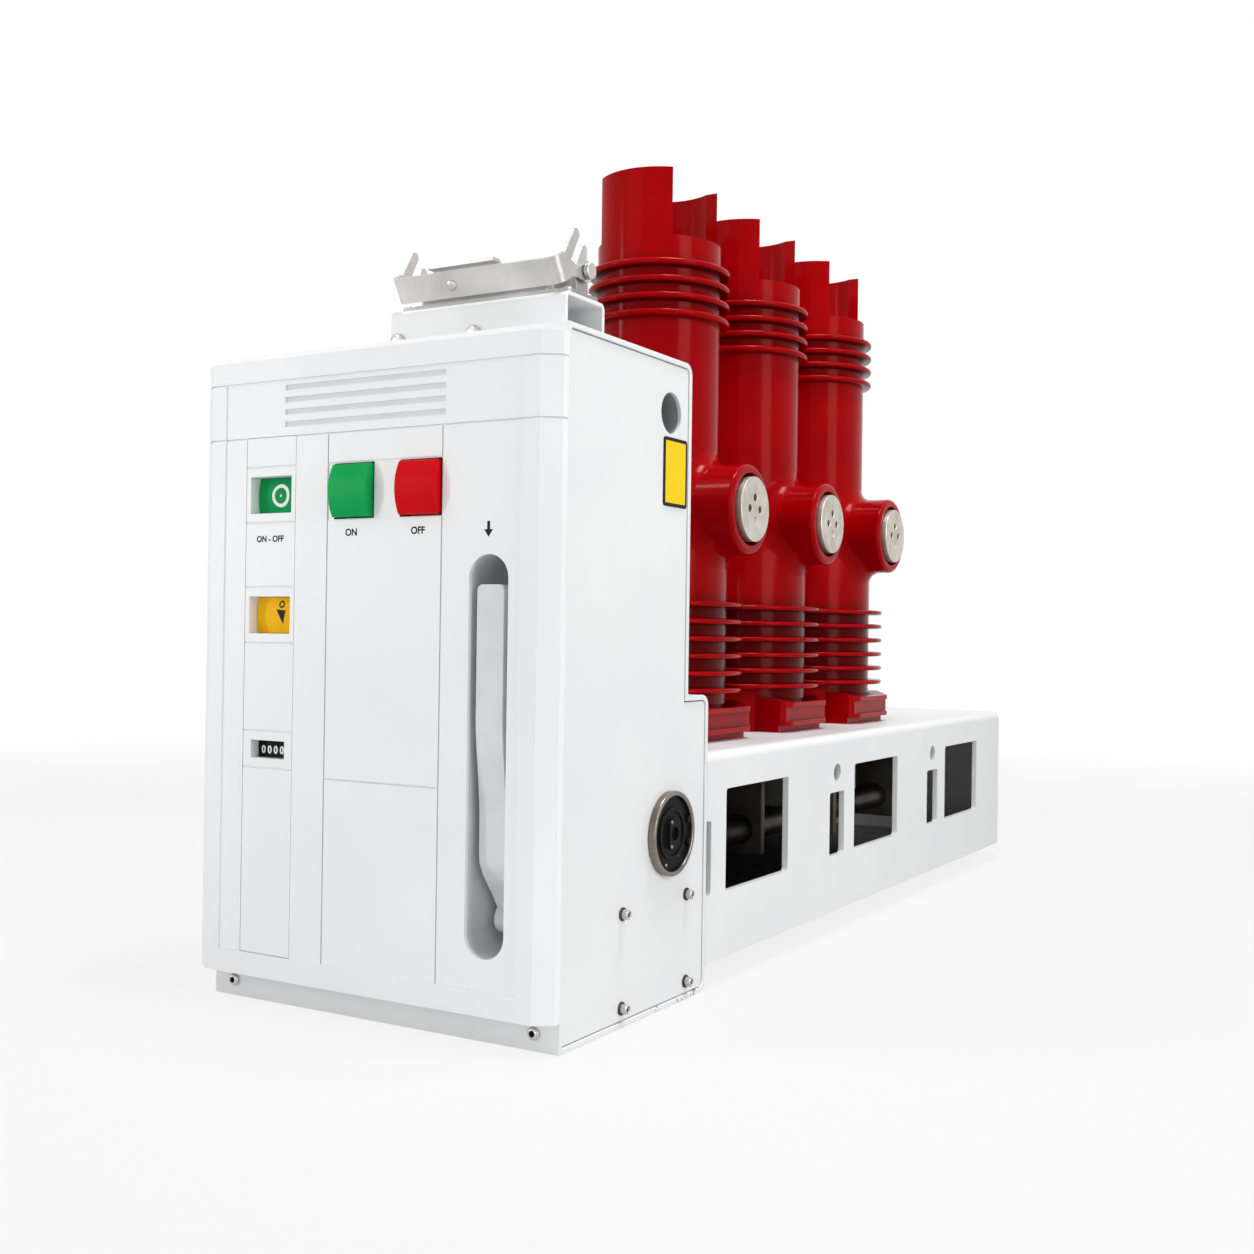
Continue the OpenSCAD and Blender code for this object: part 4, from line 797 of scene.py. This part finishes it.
def addFloor():
    bm = bmesh.new()
    bmesh.ops.create_circle(bm, cap_ends=True, segments=64, radius=floorSpec["radius"])
    bmesh.ops.translate(bm, verts=bm.verts, vec=(0, floorSpec["centreY"], -floorSpec["drop"]))
    mesh = bpy.data.meshes.new("floor")
    bm.to_mesh(mesh)
    bm.free()
    finish = bpy.data.materials.new("palePaperFloor")
    finish.use_nodes = True
    tree = finish.node_tree
    tree.nodes.remove(tree.nodes["Principled BSDF"])
    paper = addNode(tree, "BsdfDiffuse", {"Color": linear(floorSpec["albedo"])})["BSDF"]
    glow = addNode(tree, "Emission", {"Color": (1, 1, 1, 1), "Strength": 1.0})["Emission"]
    share = addNode(tree, "Math", {
        0: seenDirectly(tree), 1: floorSpec["glow"]}, operation="MULTIPLY")["Value"]
    lit = addNode(tree, "MixShader", {0: share, 1: paper, 2: glow})["Shader"]
    coords = addNode(tree, "TexCoord")["Object"]
    away = addNode(tree, "VectorMath", {0: coords}, operation="LENGTH")["Value"]
    fade = addNode(tree, "MapRange", {
        "Value": away, "From Min": floorSpec["fadeFrom"], "From Max": floorSpec["fadeTo"]},
        interpolation_type="SMOOTHSTEP")["Result"]
    clear = addNode(tree, "BsdfTransparent")["BSDF"]
    whole = addNode(tree, "MixShader", {0: fade, 1: lit, 2: clear})["Shader"]
    tree.links.new(whole, tree.nodes["Material Output"].inputs["Surface"])
    mesh.materials.append(finish)
    floor = bpy.data.objects.new("floor", mesh)
    bpy.context.scene.collection.objects.link(floor)


addFloor()

# white surround for what is seen, softer for what it lights
worldSpec = {"light": 0.36, "seen": 1.0}


def addWorld():
    world = bpy.data.worlds.new("whiteSurround")
    bpy.context.scene.world = world
    world.use_nodes = True
    tree = world.node_tree
    back = tree.nodes["Background"]
    strength = addNode(tree, "MapRange", {
        "Value": seenDirectly(tree), "To Min": worldSpec["light"], "To Max": worldSpec["seen"]})["Result"]
    back.inputs["Color"].default_value = (1, 1, 1, 1)
    tree.links.new(strength, back.inputs["Strength"])


addWorld()

# soft lamps of a white studio, in metres and watts
lamps = {
    "keySoftbox": {"place": (-0.9, -2.4, 1.7), "aim": (0, 0, 0.25), "size": (1.4, 1.4), "watts": 5},
    "sideSoftbox": {"place": (2.3, -0.3, 0.9), "aim": (0, 0.35, 0.3), "size": (0.9, 1.7), "watts": 26},
    "topSoftbox": {"place": (0.5, 0.15, 2.3), "aim": (0.05, 0.4, 0.3), "size": (0.6, 0.5), "watts": 32},
    "lowFill": {"place": (0.4, -2.3, 0.25), "aim": (0, 0, 0.22), "size": (1.5, 0.5), "watts": 9.5},
    "highStrip": {"place": (-0.88, -0.8, 2.1), "aim": (0.1, 0.35, 0.4), "size": (0.5, 0.25), "watts": 6.5},
    "tallStrip": {"place": (-2.0, -1.8, 0.7), "aim": (0, 0.3, 0.4), "size": (0.14, 1.3), "watts": 16},
}


def addLamp(name, spec):
    data = bpy.data.lights.new(name, "AREA")
    data.shape = "RECTANGLE"
    data.size, data.size_y = spec["size"]
    data.energy = spec["watts"]
    lamp = bpy.data.objects.new(name, data)
    bpy.context.scene.collection.objects.link(lamp)
    lamp.location = spec["place"]
    way = Vector(spec["aim"]) - Vector(spec["place"])
    lamp.rotation_euler = way.to_track_quat("-Z", "Y").to_euler()


for name, spec in lamps.items():
    addLamp(name, spec)

# camera at the photograph's viewing angle
cameraSpec = {"place": (0.6648, -0.8989, 0.2758), "yaw": 30.2, "pitch": 0.3, "roll": 0.8,
              "lens": 41.42, "sensor": 36.0}


def addCamera():
    data = bpy.data.cameras.new("photoCamera")
    data.lens = cameraSpec["lens"]
    data.sensor_width = cameraSpec["sensor"]
    data.clip_start = 0.01
    camera = bpy.data.objects.new("photoCamera", data)
    bpy.context.scene.collection.objects.link(camera)
    camera.matrix_world = (
        Matrix.Translation(cameraSpec["place"])
        @ Matrix.Rotation(math.radians(cameraSpec["yaw"]), 4, "Z")
        @ Matrix.Rotation(math.radians(90 + cameraSpec["pitch"]), 4, "X")
        @ Matrix.Rotation(math.radians(cameraSpec["roll"]), 4, "Z"))
    bpy.context.scene.camera = camera


addCamera()
bpy.context.scene.view_settings.view_transform = "Standard"
print("stage, lamps and camera set")
